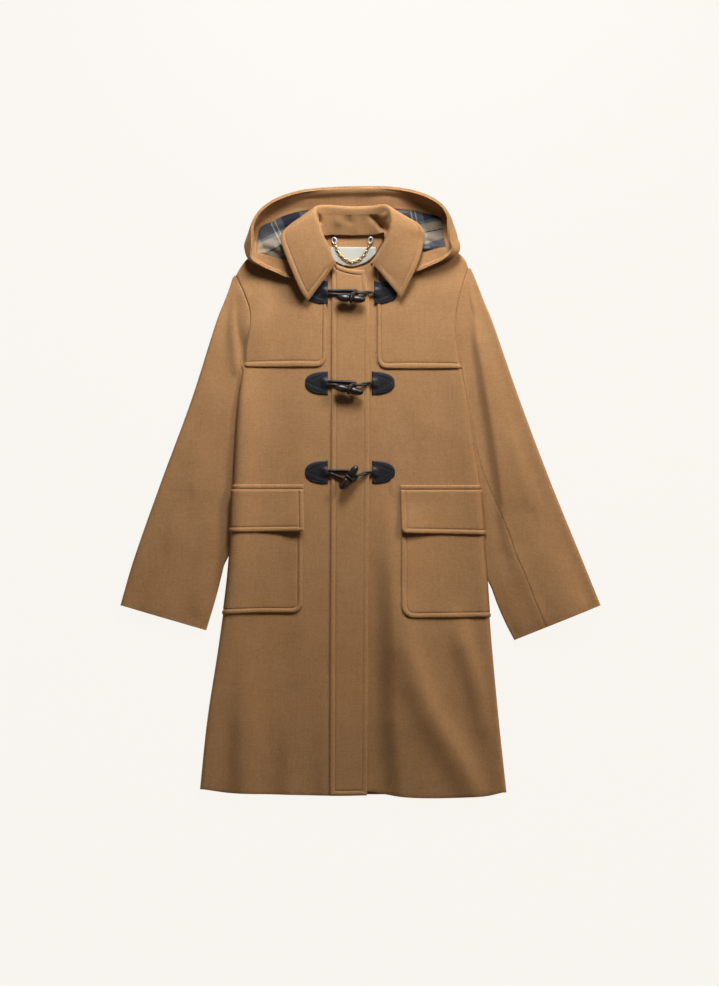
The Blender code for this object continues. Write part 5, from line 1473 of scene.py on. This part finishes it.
# How much further up it stands behind the neck, by its ring from the rim inwards.
INSIDE_LIP = Table((
    (0.0, 0.001), (1.0, 0.0055), (2.0, 0.0064), (3.0, 0.0062), (4.0, 0.0005), (5.0, 0.0), (9.0, 0.0),
))
PUFF_FROM, PUFF_EASE = 0.435, 0.035   # y from which the inside stands up, and over which
PUFF_RINGS = (2.6, 3.6, 3.4)   # rings to its full height, to its fall, and through the fall
LIP_FROM, LIP_EASE = 0.48, 0.03
LINING_BEGINS = 0.0009       # from the facing's last row to the lining's first
CRUMPLE_LIFT, CRUMPLE_HEIGHT, CRUMPLE_SCALE, CRUMPLE_EASE = 0.0014, 0.0022, 55.0, 4.0
HOOD_STITCHES = (0.075, 0.925)   # shares between which the facing's stitches show
STITCHES_BELOW = 0.0072      # from the rim down to the facing's row of stitches
LINING_CREASES = (
    Crease(((-0.186, 0.428, 0.0065), (-0.16, 0.434, 0.0085), (-0.138, 0.422, 0.0055)), 0.005),
    Crease(((-0.178, 0.446, 0.003), (-0.158, 0.44, -0.002), (-0.14, 0.446, 0.003)), 0.0045),
    Crease(((-0.17, 0.418, 0.0035), (-0.15, 0.408, 0.004)), 0.004),
    Crease(((-0.15, 0.47, 0.003), (-0.12, 0.485, 0.003)), 0.006),
    Crease(((0.118, 0.446, 0.0075), (0.136, 0.438, 0.0055), (0.146, 0.428, 0.006)), 0.0045),
    Crease(((0.112, 0.426, 0.004), (0.128, 0.42, 0.0055), (0.138, 0.412, 0.003)), 0.0045),
    Crease(((0.124, 0.462, 0.0035), (0.14, 0.47, 0.003)), 0.006),
    Crease(((0.104, 0.432, 0.003), (0.12, 0.434, 0.005)), 0.0035),
)


def inside_rise(x, y, ring):
    """How far up the hood's inside stands at (x, y), that many rings in from the rim."""
    full, falls, fall = PUFF_RINGS
    behind = smooth((y - PUFF_FROM) / PUFF_EASE)
    puff = INSIDE_PUFF.at(x) * behind * smooth(ring / full) * (1.0 - smooth((ring - falls) / fall))
    return puff + INSIDE_LIP.at(ring) * smooth((y - LIP_FROM) / LIP_EASE)


def hood_inside(surface, first, last, distance, crumple=False):
    """The rings first to last of the hood, moved to its inside, without what the collar covers."""
    inside = moved_out(surface, distance)
    row_of, column_of = inside.verts.layers.int["row"], inside.verts.layers.int["column"]
    if first > 0:
        spots = {(vert[column_of], vert[row_of]): vert.co.copy() for vert in inside.verts}
        for vert in inside.verts:
            if vert[row_of] == first:
                ahead = spots[vert[column_of], first + 1] - vert.co
                vert.co += ahead.normalized() * LINING_BEGINS
    covered = COVERED * HOOD_COLUMNS
    gone = [
        vert for vert in inside.verts
        if not first <= vert[row_of] <= last or not covered < vert[column_of] < HOOD_COLUMNS - covered
    ]
    bmesh.ops.delete(inside, geom=gone, context="VERTS")
    for vert in inside.verts:
        vert.co.z += inside_rise(vert.co.x, vert.co.y, vert[row_of] / RING_CELLS)
        if crumple:
            folds = crease_height(LINING_CREASES, vert.co.x, vert.co.y)
            raised = CRUMPLE_LIFT + CRUMPLE_HEIGHT * noise.noise(vert.co * CRUMPLE_SCALE) + folds
            vert.co.z += max(0.0, raised) * smooth((vert[row_of] - first) / CRUMPLE_EASE)
    inside.normal_update()
    return inside


def hood_stitches():
    """The row of stitches that holds the facing to the hood, a little below the rim."""
    points = []
    middle = Vector(HOOD_MIDDLE)
    for share in even_steps(*HOOD_STITCHES, HOOD_COLUMNS * 2):
        ring = min(2.4, STITCHES_BELOW / max(hood_section(share).knots[1], 1e-6))
        at = hood_point(share, ring)
        ahead, below = hood_point(share + 0.002, ring), hood_point(share, ring + 0.25)
        inward = (below - at).cross(ahead - at).normalized()
        if inward.dot(middle - at) < 0:
            inward = -inward
        at = at + inward * (MELTON / 2 + REST + HOOD_FACING)
        points.append(at + rise(inside_rise(at.x, at.y, ring)))
    return [points]


# ======== neck
NECK_FACING = ((-0.0752, 0.446), (-0.0652, 0.4235), (-0.0455, 0.4025), (-0.031, 0.3955), (-0.0125, 0.393),
               (0.006, 0.399), (0.017, 0.4045), (0.032, 0.426), (0.042, 0.447), (0.0415, 0.4545),
               (-0.015, 0.453), (-0.072, 0.4515))
LABEL = ((-0.0525, 0.411), (-0.0445, 0.4035), (-0.0305, 0.3965), (-0.0125, 0.394), (0.005, 0.3996),
         (0.016, 0.4055), (0.027, 0.417), (0.027, 0.4285), (-0.0525, 0.4285))
FACING_TOP = MELTON + REST + BAND
LABEL_TOP = FACING_TOP + REST + LINING
Ring = namedtuple("Ring", "name x y turn")
RINGS = (Ring("chain_ring_right", -0.046, 0.4395, 15), Ring("chain_ring_left", 0.0175, 0.44, -15))
RING_WIRE = 0.0017
RING_HALF = (0.0036, 0.0054)
# A ring's thread tab, from the ring's top: along its length, to its side, and up.
RING_TAB = (
    (0.0045, 0.0012, -0.0006), (0.0016, 0.0008, 0.0016), (-0.0016, 0.0, 0.0014),
    (-0.0022, 0.0, -0.0004), (-0.001, -0.0006, -0.0008), (0.0045, -0.0012, -0.0006),
)
CHAIN_ROUTE = ((-0.0447, 0.434), (-0.0415, 0.4265), (-0.037, 0.4175), (-0.031, 0.41), (-0.0235, 0.405),
               (-0.014, 0.4025), (-0.005, 0.405), (0.003, 0.411), (0.01, 0.4215), (0.0158, 0.434))
CHAIN_LINKS = 21
LINK_HALF, LINK_WIRE = (0.0021, 0.0033), 0.00088
LINK_TILTS = (0.15, 1.3)     # links lie flat and stand up by turns
PLATE_ROUND = 0.0006         # how far in from its outline a plate's upper edge is rounded
PLATE_WEAR = 0.0012          # how far in from its outline a plate looks worn


def plate(name, outline, bottom, thickness, made_of, node, slot, rounding=0.0005, shape=None, cell=0.003):
    """A flat piece with rounded edges, cut into small cells. shape gives how far a place of its
    upper face stands up, from the place and its distance from the edge."""
    bm = bmesh.new()
    edge = bm.verts.layers.float.new("edge")
    face = bm.faces.new([bm.verts.new((x, y, 0.0)) for x, y in outline])
    bm.normal_update()
    if face.normal.z < 0:
        bmesh.ops.reverse_faces(bm, faces=[face])
    for width in (PLATE_ROUND, 0.001, 0.001):
        bmesh.ops.inset_region(bm, faces=[face], thickness=width, use_even_offset=True)
    low, high = Vector(map(min, zip(*outline))), Vector(map(max, zip(*outline)))
    for axis, normal in enumerate((Vector((1.0, 0.0, 0.0)), Vector((0.0, 1.0, 0.0)))):
        for k in range(1, int((high[axis] - low[axis]) / cell) + 1):
            geom = bm.verts[:] + bm.edges[:] + bm.faces[:]
            bmesh.ops.bisect_plane(bm, geom=geom, plane_co=normal * (low[axis] + k * cell), plane_no=normal)
    sides = [(Vector(a), Vector(b)) for a, b in zip(outline, list(outline[1:]) + [outline[0]])]

    def from_edge(spot):
        nearest = 1.0
        for a, b in sides:
            line = b - a
            along = min(1.0, max(0.0, (spot - a).dot(line) / line.length_squared))
            nearest = min(nearest, (spot - a - line * along).length)
        return nearest

    for vert in bm.verts:
        vert[edge] = math.exp(-from_edge(vert.co.xy) / PLATE_WEAR)
    made = bmesh.ops.extrude_face_region(bm, geom=bm.faces[:], use_keep_orig=True)
    upper = {item for item in made["geom"] if isinstance(item, bmesh.types.BMVert)}
    for vert in bm.verts:
        if vert not in upper:
            vert.co.z = bottom
            continue
        distance = from_edge(vert.co.xy)
        drop = rounding * (1.0 - min(1.0, distance / PLATE_ROUND)) ** 2
        stands = shape(vert.co.x, vert.co.y, distance) if shape else 0.0
        vert.co.z = bottom + thickness - drop + stands
    bmesh.ops.recalc_face_normals(bm, faces=bm.faces[:])
    return finished(name, mesh_of(name, bm), made_of, node, slot=slot)


def tube(name, routes, radius, made_of, *nodes, slot=None, sides=5, points=90):
    """Round cords along smooth routes, as one mesh."""
    shape = bpy.data.curves.new(name, "CURVE")
    shape.dimensions, shape.bevel_depth, shape.bevel_resolution = "3D", radius, sides
    shape.use_fill_caps = True
    for route in routes:
        line = Line(route)
        spline = shape.splines.new("POLY")
        spline.points.add(points - 1)
        for k, point in enumerate(spline.points):
            point.co = (*line.at(k / (points - 1)), 1.0)
    guide = bpy.data.objects.new(name + "_guide", shape)
    mesh = bpy.data.meshes.new_from_object(guide)
    bpy.data.objects.remove(guide, do_unlink=True)
    bpy.data.curves.remove(shape)
    mesh.name = name
    return finished(name, mesh, made_of, *nodes, slot=slot)


def oval_link(bm, centre, along, half, wire, tilt, segments=14, sides=6):
    """One oval link of wire, its long side along a direction and its face tilted about it."""
    others = set(bm.verts)
    start = bmesh.ops.create_circle(bm, cap_ends=False, radius=wire, segments=sides)["verts"]
    turn = Matrix.Rotation(math.pi / 2, 4, "X")
    bmesh.ops.transform(bm, matrix=Matrix.Translation((1.0, 0.0, 0.0)) @ turn, verts=start)
    edges = list({edge for vert in start for edge in vert.link_edges})
    bmesh.ops.spin(
        bm, geom=start + edges, cent=(0, 0, 0), axis=(0, 0, 1), angle=2 * math.pi, steps=segments, use_merge=True,
    )
    verts = [vert for vert in bm.verts if vert not in others]
    for vert in verts:
        middle = Vector((vert.co.x, vert.co.y, 0.0)).normalized()
        vert.co = Vector((middle.x * half[0], middle.y * half[1], 0.0)) + (vert.co - middle)
    turned = along.to_track_quat("Y", "Z").to_matrix().to_4x4() @ Matrix.Rotation(tilt, 4, "Y")
    bmesh.ops.transform(bm, matrix=Matrix.Translation(centre) @ turned, verts=verts)


def label_relief(x, y, distance):
    """The label's slight wave and the groove of its turned edge."""
    return 0.0003 * math.sin(x * 170.0) - 0.0002 * bell(distance - 0.0016, 0.0005)


def ring_place(ring):
    """Middle of a ring, and the direction of its length."""
    turn = math.radians(ring.turn)
    centre = Vector((ring.x, ring.y, FACING_TOP + REST + RING_WIRE))
    return centre, Vector((-math.sin(turn), math.cos(turn), 0.0))


def ring_mesh(ring):
    """One oval ring, flat on the neck facing."""
    bm = bmesh.new()
    centre, along = ring_place(ring)
    oval_link(bm, centre, along, RING_HALF, RING_WIRE, 0.0, 28, 10)
    bmesh.ops.recalc_face_normals(bm, faces=bm.faces[:])
    return mesh_of(ring.name, bm)


def ring_tab(ring):
    """The route of the thread that holds a ring, over its wire and back."""
    centre, along = ring_place(ring)
    top, side = centre + along * RING_HALF[1], Vector((along.y, -along.x, 0.0))
    return [top + along * past + side * beside + rise(height) for past, beside, height in RING_TAB]


def chain_mesh():
    """The hanging chain's links, from ring to ring over the label."""
    route = Line([(x, y, LABEL_TOP + REST + 0.002) for x, y in CHAIN_ROUTE])
    bm = bmesh.new()
    for k in range(CHAIN_LINKS):
        share = (k + 0.5) / CHAIN_LINKS
        along = route.heading(share).normalized()
        oval_link(bm, route.at(share), along, LINK_HALF, LINK_WIRE, LINK_TILTS[k % 2])
    bmesh.ops.recalc_face_normals(bm, faces=bm.faces[:])
    return mesh_of("brass_chain", bm)


# ======== fastenings
LEATHER = 0.002
PATCH_LENGTH, PATCH_HALF = 0.04, 0.02025
PATCH_RIGHT_X = -0.057
PATCH_STEPS = 16
PATCH_POINT = 0.85
STORM_FLAP_BOTTOM = 0.22
PLACKET_TOP = FRONT_LEVEL + OVERLAP_LIFT + ON_FRONT + BAND
LOOP_RADIUS = 0.0026
LOOP_LEVEL = PLACKET_TOP + REST + LOOP_RADIUS
LOOP_PAST = 0.011
CORD_RADIUS = 0.0017
CORD_CLIMB = ((0.0031, -0.001), (0.0023, 0.001), (-0.0008, 0.00225))
CORD_TURNS = 1.5
STRANDS_APART, STRANDS_TIGHT = 0.0019, 0.0011   # from the cord's middle, free and on the toggle
TOGGLE_PROFILE = ((0.0, 0.0046), (0.0024, 0.0047), (0.005, 0.0064), (0.011, 0.0069), (0.0175, 0.0062),
                  (0.0225, 0.0045), (0.0246, 0.0021))
TOGGLE_END = 0.0254
Fastening = namedtuple("Fastening", "row y left_x toggle_x toggle_y toggle_z turn loop_rise")
FASTENINGS = (
    Fastening(1, 0.349, 0.024, -0.0165, 0.338, 0.0252, -5, 0.0105),
    Fastening(2, 0.1905, 0.02, -0.02, 0.1785, 0.0252, -12, 0.0095),
    Fastening(3, 0.0345, 0.0205, -0.0205, 0.0255, 0.025, 53, 0.002),
)
TOGGLE_RINGS, TOGGLE_SIDES = 22, 32
TOGGLE_UNEVEN, TOGGLE_TAPER = 0.05, 0.06
PATCH_STITCH_IN, PATCH_SLANT_IN = 0.0028, 0.0045
# A patch's relief: heights and depths, each with its half width or its length.
OVER_CORD, OVER_CORD_HALF, OVER_CORD_LENGTH = 0.0036, 0.0078, 0.015
EDGE_GROOVE, SLANT_GROOVE = (0.0005, 0.0007), (0.0004, 0.0008)
PATCH_PUFF = (0.0003, 0.006)
# A toggle's cord beside the toggle: along it and across it.
CORD_OVER_LOOP, CORD_BESIDE = (0.012, 0.0108), (0.005, 0.0102)
CORD_START_UP = 0.0026
CORD_FREE = 0.55             # share over which the strands draw together
STRANDS_CROSS = 0.0006       # how far up and down the strands go as they cross


def patch_outline(end_x, y, outward, inset=0.0):
    """Outline of a patch with its straight end at end_x, or of a line that far in from it."""
    outline = []
    length, half = PATCH_LENGTH - 2 * inset, PATCH_HALF - inset
    for k in range(PATCH_STEPS + 1):
        angle = math.pi / 2 * k / PATCH_STEPS
        outline.append((inset + length * math.sin(angle) ** PATCH_POINT, half * math.cos(angle) ** 0.8))
    outline += [(x, -width) for x, width in outline[-2::-1]]
    return [(end_x + outward * x, y + width) for x, width in outline]


def make_patch(name, end_x, y, bottom, outward):
    """A leather patch, pressed down round its edge and along its stitches, and raised over the
    ends of the cord. Gives the runs of its stitches."""
    def shape(px, py, distance):
        cord_end = abs(px - end_x)
        over = OVER_CORD * math.exp(-(((py - y) / OVER_CORD_HALF) ** 4))
        over *= 1.0 - smooth(cord_end / OVER_CORD_LENGTH)
        groove = EDGE_GROOVE[0] * bell(distance - PATCH_STITCH_IN, EDGE_GROOVE[1])
        side = (PATCH_HALF - 0.003) * (1.0 - cord_end / (PATCH_LENGTH - 0.004))
        slant = SLANT_GROOVE[0] * bell(abs(py - y) - side, SLANT_GROOVE[1])
        return over - groove - slant + PATCH_PUFF[0] * smooth(distance / PATCH_PUFF[1])

    plate(
        f"leather_{name}", patch_outline(end_x, y, outward), bottom, LEATHER, dark_leather(), name,
        "dark_leather", rounding=0.0011, shape=shape, cell=0.0016,
    )
    top = bottom + LEATHER + 0.0001
    edge_run = [(x, py, top) for x, py in patch_outline(end_x, y, outward, PATCH_STITCH_IN)]
    edge_run.append(edge_run[0])
    inset, tip = end_x + outward * PATCH_STITCH_IN, end_x + outward * (PATCH_LENGTH - PATCH_SLANT_IN)
    slants = [
        [(inset, y + end * (PATCH_HALF - PATCH_SLANT_IN), top), (tip, y + end * 0.0004, top)] for end in (-1, 1)
    ]
    return [edge_run, *slants]


def toggle_mesh(row):
    """A turned horn toggle with a waist for its cord, slightly uneven as carved horn is."""
    half = Line([(radius, along) for along, radius in TOGGLE_PROFILE] + [(0.0, TOGGLE_END)])
    points = [half.at(k / TOGGLE_RINGS) for k in range(TOGGLE_RINGS + 1)]
    profile = [(0.0, TOGGLE_END)] + [(p.x, p.y) for p in points[-2::-1]] + [(p.x, -p.y) for p in points[1:-1]]
    profile.append((0.0, -TOGGLE_END))
    bm = bmesh.new()
    verts = [bm.verts.new((radius, 0.0, along)) for radius, along in profile]
    edges = [bm.edges.new(pair) for pair in zip(verts, verts[1:])]
    bmesh.ops.spin(
        bm, geom=verts + edges, cent=(0, 0, 0), axis=(0, 0, 1), angle=2 * math.pi, steps=TOGGLE_SIDES,
        use_merge=True,
    )
    bmesh.ops.remove_doubles(bm, verts=bm.verts[:], dist=0.00001)
    bmesh.ops.recalc_face_normals(bm, faces=bm.faces[:])
    grain = bm.verts.layers.float_vector.new("grain")
    for vert in bm.verts:
        vert[grain] = vert.co + rise(0.3 * row.row)
        spot = Vector((vert.co.x * 90, vert.co.y * 90, vert.co.z * 60 + row.row))
        uneven = 1.0 + TOGGLE_UNEVEN * noise.noise(spot)
        taper = 1.0 - TOGGLE_TAPER * vert.co.z / TOGGLE_END
        vert.co.x *= uneven * taper
        vert.co.y *= uneven * taper
    turn = Matrix.Rotation(math.radians(row.turn), 4, "Z") @ Matrix.Rotation(math.pi / 2, 4, "Y")
    put = Matrix.Translation((row.toggle_x, row.toggle_y, row.toggle_z))
    bmesh.ops.transform(bm, matrix=put @ turn, verts=bm.verts[:])
    return mesh_of(f"toggle_{row.row}", bm)


def loop_route(row):
    """The loop's route from the right patch, round behind the toggle's waist and back."""
    start, half = PATCH_RIGHT_X + REST, LOOP_RADIUS + 0.0001
    high, low = row.y + half, row.y - half
    if row.row == 3:
        round_toggle = (
            (start + 0.02, high + 0.0004), (-0.019, row.y + 0.0022), (-0.012, row.y - 0.0015),
            (-0.0088, 0.027), (-0.012, 0.0215), (-0.02, 0.0196), (-0.03, 0.0232),
            (start + 0.014, low - 0.003), (start + 0.006, low),
        )
    else:
        end_x, end_y = row.toggle_x + LOOP_PAST, row.toggle_y + row.loop_rise
        middle_x, middle_y = (start + end_x) / 2, (row.y + end_y) / 2
        round_toggle = (
            (middle_x, middle_y + half * 1.3), (end_x - 0.006, end_y + half * 1.4), (end_x - 0.001, end_y + half),
            (end_x, end_y), (end_x - 0.001, end_y - half), (end_x - 0.006, end_y - half * 1.4),
            (middle_x, middle_y - half * 1.3), (start + 0.007, low),
        )
    under = ((start - 0.008, LOOP_LEVEL - 0.0036), (start, LOOP_LEVEL - 0.0022))
    return (
        *((x, high, z) for x, z in under), *((x, y, LOOP_LEVEL) for x, y in ((start + 0.007, high), *round_toggle)),
        *((x, low, z) for x, z in reversed(under)),
    )


def cord_strands(row, left_level):
    """The two strands of a toggle's cord, twisted together and wound on the toggle's waist."""
    axis = Vector((math.cos(math.radians(row.turn)), math.sin(math.radians(row.turn)), 0.0))
    across = Vector((axis.y, -axis.x, 0.0))
    if across.x < 0:
        across = -across
    round_waist = TOGGLE_PROFILE[0][1] + REST + CORD_RADIUS
    middle = Vector((row.toggle_x, row.toggle_y, row.toggle_z))
    start = Vector((row.left_x, row.y, left_level + CORD_START_UP))
    edge = CENTRE_EDGE["right"].at(row.y)
    climb = [Vector((edge + out, row.y, PLACKET_TOP + up)) for out, up in CORD_CLIMB]
    climb = [spot for spot in climb if spot.z > start.z + 0.001]
    over_loop = at_height(
        middle + axis * CORD_OVER_LOOP[0] + across * CORD_OVER_LOOP[1],
        LOOP_LEVEL + LOOP_RADIUS + REST + CORD_RADIUS + 0.001,
    )
    beside = middle + axis * CORD_BESIDE[0] + across * CORD_BESIDE[1] - rise(0.003)
    wrap = []
    for degrees in range(0, 200, 30):
        angle = math.radians(degrees)
        wrap.append(middle + across * (round_waist * math.cos(angle)) + rise(round_waist * math.sin(angle)))
    tucked = start + Vector((0.007, 0.0, -0.001))
    line = Line([tucked, start, *climb, over_loop, beside, *wrap])
    free = CORD_FREE * line.length
    strands = []
    for phase in (0.0, math.pi):
        route = []
        for share in even_steps(0.0, 1.0, 60):
            at, along = line.at(share), line.heading(share).normalized()
            level = Vector((-along.y, along.x, 0.0))
            level = level.normalized() if level.length > 0.2 else axis
            upright = along.cross(level).normalized()
            turn = phase + 2 * math.pi * CORD_TURNS * share
            wide = STRANDS_APART + (STRANDS_TIGHT - STRANDS_APART) * smooth(share * line.length / free)
            route.append(at + level * (wide * math.cos(turn)) + upright * (STRANDS_CROSS * math.sin(turn)))
        strands.append(route)
    return strands


# ======== operators
class COAT_OT_body(bpy.types.Operator):
    """Make the back and the two fronts"""

    bl_idname = "coat.body"
    bl_label = "Back and fronts"

    def execute(self, context):
        cloth("back", back_sheet(), MELTON)
        cloth("front_right", front_sheet("right"), MELTON)
        cloth("front_left", front_sheet("left"), MELTON)
        return {"FINISHED"}


class COAT_OT_sleeves(bpy.types.Operator):
    """Make both two-piece sleeves"""

    bl_idname = "coat.sleeves"
    bl_label = "Sleeves"

    def execute(self, context):
        for side, part, first, last, flat, area in (
            ("right", "top", "under_in", "under_out", (0.2, 0.62), 0.094),
            ("right", "under", "under_out", "under_in", (0.09, 0.6), 0.04),
            ("left", "top", "front", "under_out", (0.185, 0.62), 0.08),
            ("left", "under", "under_out", "front", (0.155, 0.61), 0.065),
        ):
            cloth(f"sleeve_{side}_{part}", sleeve_sheet(side, first, last), MELTON)
        return {"FINISHED"}


class COAT_OT_sewn_on(bpy.types.Operator):
    """Make the placket, the storm flaps and the pockets with their flaps and bands"""

    bl_idname = "coat.sewn_on"
    bl_label = "Placket, flaps and pockets"

    def execute(self, context):
        inset = sizes().welt
        front_edge = placket()
        front_edge.make("placket", (0.068, 0.925), None, ["cloth_front_right"])
        width, low, high = front_edge.width, inset, front_edge.height - 0.007
        stitching("stitches_placket", [
            front_edge.stitch_run([(inset, high), (inset, low), (width - inset, low), (width - inset, high)]),
            front_edge.stitch_run([(inset, high), (width - inset, high)]),
        ])
        for side in OUTWARD:
            under = [f"cloth_front_{side}"]
            flap, bag, cover, band = (part(side) for part in (storm_flap, pocket, pocket_flap, pocket_band))
            flap.make(f"storm_flap_{side}", (0.16, 0.21), 0.03, under)
            flat, area = {"right": ((0.15, 0.21), 0.029), "left": ((0.16, 0.215), 0.033)}[side]
            bag.make(f"pocket_{side}", flat, area, under)
            cover.make(f"pocket_flap_{side}", (0.145, 0.076), None, [f"cloth_pocket_{side}"])
            band.make(f"pocket_band_{side}", (0.135, 0.01), None, under)
            stitching(f"stitches_storm_flap_{side}", [
                flap.stitch_run([(inset, flap.height * 0.86), (inset, inset), (flap.width - 0.001, inset)]),
            ])
            stitching(f"stitches_pocket_{side}", [
                bag.stitch_run([(inset, bag.height * 0.72), (inset, inset), (bag.width - 0.004, inset)]),
                cover.stitch_run([(inset, cover.height - 0.002), (inset, inset), (cover.width - 0.004, inset)]),
                band.stitch_run([(0.002, 0.0012), (band.width - 0.003, 0.0012)]),
                band.stitch_run([(0.106, 0.0008), (0.106, 0.0074)]),
            ])
        return {"FINISHED"}


class COAT_OT_collar(bpy.types.Operator):
    """Make the collar"""

    bl_idname = "coat.collar"
    bl_label = "Collar"

    def execute(self, context):
        cloth("collar", collar_sheet(), COLLAR)
        stitching("stitches_collar", collar_stitches())
        return {"FINISHED"}


class COAT_OT_hood(bpy.types.Operator):
    """Make the hood, its facing and its check lining"""

    bl_idname = "coat.hood"
    bl_label = "Hood"

    def execute(self, context):
        surface = hood_sheet()
        inside = MELTON / 2 + REST
        border, last = FACING_RINGS * RING_CELLS, HOOD_RINGS * RING_CELLS - 5
        facing = hood_inside(surface, 0, border, inside)
        lining = hood_inside(surface, border, last, inside, crumple=True)
        cloth("hood_facing", facing, HOOD_FACING, side=1.0)
        cloth("hood_lining", lining, LINING, made_of=check_lining(),
              slot="check_lining", side=1.0)
        cloth("hood", surface, MELTON)
        stitching("stitches_hood", hood_stitches())
        return {"FINISHED"}


class COAT_OT_neck(bpy.types.Operator):
    """Make the back neck facing, the bare label and the hanging chain with its rings"""

    bl_idname = "coat.neck"
    bl_label = "Neck, label and chain"

    def execute(self, context):
        ends = Line(NECK_FACING + NECK_FACING[:1])
        outline = [tuple(ends.at(k / 48)) for k in range(48)]
        piece = plate("cloth_neck_facing", outline, MELTON + REST, BAND, melton(), "neck_facing", "camel_wool")
        piece = plate(
            "woven_label_bare", LABEL, FACING_TOP + REST, LINING, woven_label(), "label", "woven_label",
            shape=label_relief,
        )
        for ring in RINGS:
            finished(f"metal_{ring.name}", ring_mesh(ring), steel(), ring.name, slot="steel")
        finished("brass_chain", chain_mesh(), brass(), "neck_chain", slot="brass")
        tube("ring_tabs", [ring_tab(ring) for ring in RINGS], 0.0008, dark_thread(), points=24, sides=3)
        return {"FINISHED"}


class COAT_OT_fastenings(bpy.types.Operator):
    """Make the three rows of leather patches, loops, toggles and toggle cords"""

    bl_idname = "coat.fastenings"
    bl_label = "Fastenings"

    def execute(self, context):
        runs = []
        for row in FASTENINGS:
            on_flap = BAND + REST if row.y > STORM_FLAP_BOTTOM else 0.0
            right_level = FRONT_LEVEL + OVERLAP_LIFT + MELTON / 2 + REST + on_flap
            left_level = FRONT_LEVEL + MELTON / 2 + REST + on_flap
            runs += make_patch(f"patch_right_{row.row}", PATCH_RIGHT_X, row.y, right_level, -1)
            runs += make_patch(f"patch_left_{row.row}", row.left_x, row.y, left_level, 1)
            tube(f"leather_loop_{row.row}", [loop_route(row)], LOOP_RADIUS, leather_cord(), f"loop_{row.row}",
                 slot="leather_cord", points=140)
            finished(f"horn_toggle_{row.row}", toggle_mesh(row), horn(), f"toggle_{row.row}", slot="horn")
            tube(f"leather_toggle_cord_{row.row}", cord_strands(row, left_level), sizes().strand, leather_cord(),
                 f"toggle_cord_{row.row}", slot="leather_cord", points=110)
        stitching("stitches_patches", runs, dark_thread(), sink=0.0001)
        return {"FINISHED"}


VIEW_HEIGHT = 1.7255         # metres of the floor that the picture's height takes in
VIEW_MIDDLE = (-0.00175, -0.00175)
LENS, SENSOR = 250.0, 36.0
FLOOR_HALF, FLOOR_DROP = 6.0, 0.0008
ROOM_LIGHT, ROOM_COLOUR = 0.055, (1.0, 0.95, 0.88, 1.0)
LIGHTS = (                   # name, place, aim, size, power and colour
    ("key", (2.05, 2.05, 1.52), (0.0, 0.05, 0.0), 0.8, 58.5, (1.0, 0.945, 0.87)),
    ("top", (0.06, 1.28, 0.68), (0.0, 0.25, 0.0), 0.46, 22.5, (0.96, 0.985, 1.04)),
    ("fill", (-1.8, -3.4, 2.6), (0.0, 0.0, 0.0), 2.2, 8.0, (1.0, 0.9, 0.78)),
)


class COAT_OT_stage(bpy.types.Operator):
    """Make the camera, the floor and the lights"""

    bl_idname = "coat.stage"
    bl_label = "Camera, floor and lights"

    def execute(self, context):
        scene = bpy.context.scene
        scene.view_settings.view_transform = "Standard"
        camera = bpy.data.cameras.new("camera")
        camera.lens, camera.sensor_width, camera.sensor_fit = LENS, SENSOR, "AUTO"
        camera.clip_start, camera.clip_end = 0.1, 50.0
        seat = bpy.data.objects.new("camera", camera)
        scene.collection.objects.link(seat)
        seat.location = (*VIEW_MIDDLE, VIEW_HEIGHT * LENS / SENSOR)
        scene.camera = seat

        bm = bmesh.new()
        bmesh.ops.create_grid(bm, x_segments=2, y_segments=2, size=FLOOR_HALF)
        bmesh.ops.translate(bm, vec=rise(-FLOOR_DROP), verts=bm.verts[:])
        ground = bpy.data.objects.new("floor", mesh_of("floor", bm))
        scene.collection.objects.link(ground)
        ground.data.materials.append(floor_finish())

        for name, where, aim, size, power, colour in LIGHTS:
            lamp = bpy.data.lights.new(name, "AREA")
            lamp.shape, lamp.size, lamp.energy, lamp.color = "DISK", size, power, colour
            holder = bpy.data.objects.new(name, lamp)
            holder.location = where
            holder.rotation_euler = (Vector(aim) - Vector(where)).to_track_quat("-Z", "Y").to_euler()
            scene.collection.objects.link(holder)
        world = bpy.data.worlds.new("room")
        world.use_nodes = True
        background = world.node_tree.nodes["Background"]
        background.inputs["Color"].default_value = ROOM_COLOUR
        background.inputs["Strength"].default_value = ROOM_LIGHT
        scene.world = world
        return {"FINISHED"}


OPERATORS = (
    COAT_OT_stage, COAT_OT_body, COAT_OT_sleeves, COAT_OT_sewn_on, COAT_OT_hood, COAT_OT_collar, COAT_OT_neck,
    COAT_OT_fastenings,
)


class COAT_PT_pieces(bpy.types.Panel):
    """The coat's pieces and settings"""

    bl_label = "Duffle coat"
    bl_space_type = "VIEW_3D"
    bl_region_type = "UI"
    bl_category = "Coat"

    def draw(self, context):
        for group in (context.scene.coat_sizes, context.scene.coat_colours):
            for name in group.__annotations__:
                self.layout.prop(group, name)
        for operator in OPERATORS:
            self.layout.operator(operator.bl_idname)


CLASSES = (CoatSizes, CoatColours, *OPERATORS, COAT_PT_pieces)


def register():
    for made in CLASSES:
        bpy.utils.register_class(made)
    bpy.types.Scene.coat_sizes = bpy.props.PointerProperty(type=CoatSizes)
    bpy.types.Scene.coat_colours = bpy.props.PointerProperty(type=CoatColours)


def unregister():
    del bpy.types.Scene.coat_sizes, bpy.types.Scene.coat_colours
    for made in reversed(CLASSES):
        bpy.utils.unregister_class(made)


def main():
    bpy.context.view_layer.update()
    register()
    for operator in OPERATORS:
        group, name = operator.bl_idname.split(".")
        getattr(getattr(bpy.ops, group), name)()


if __name__ == "__main__":
    main()
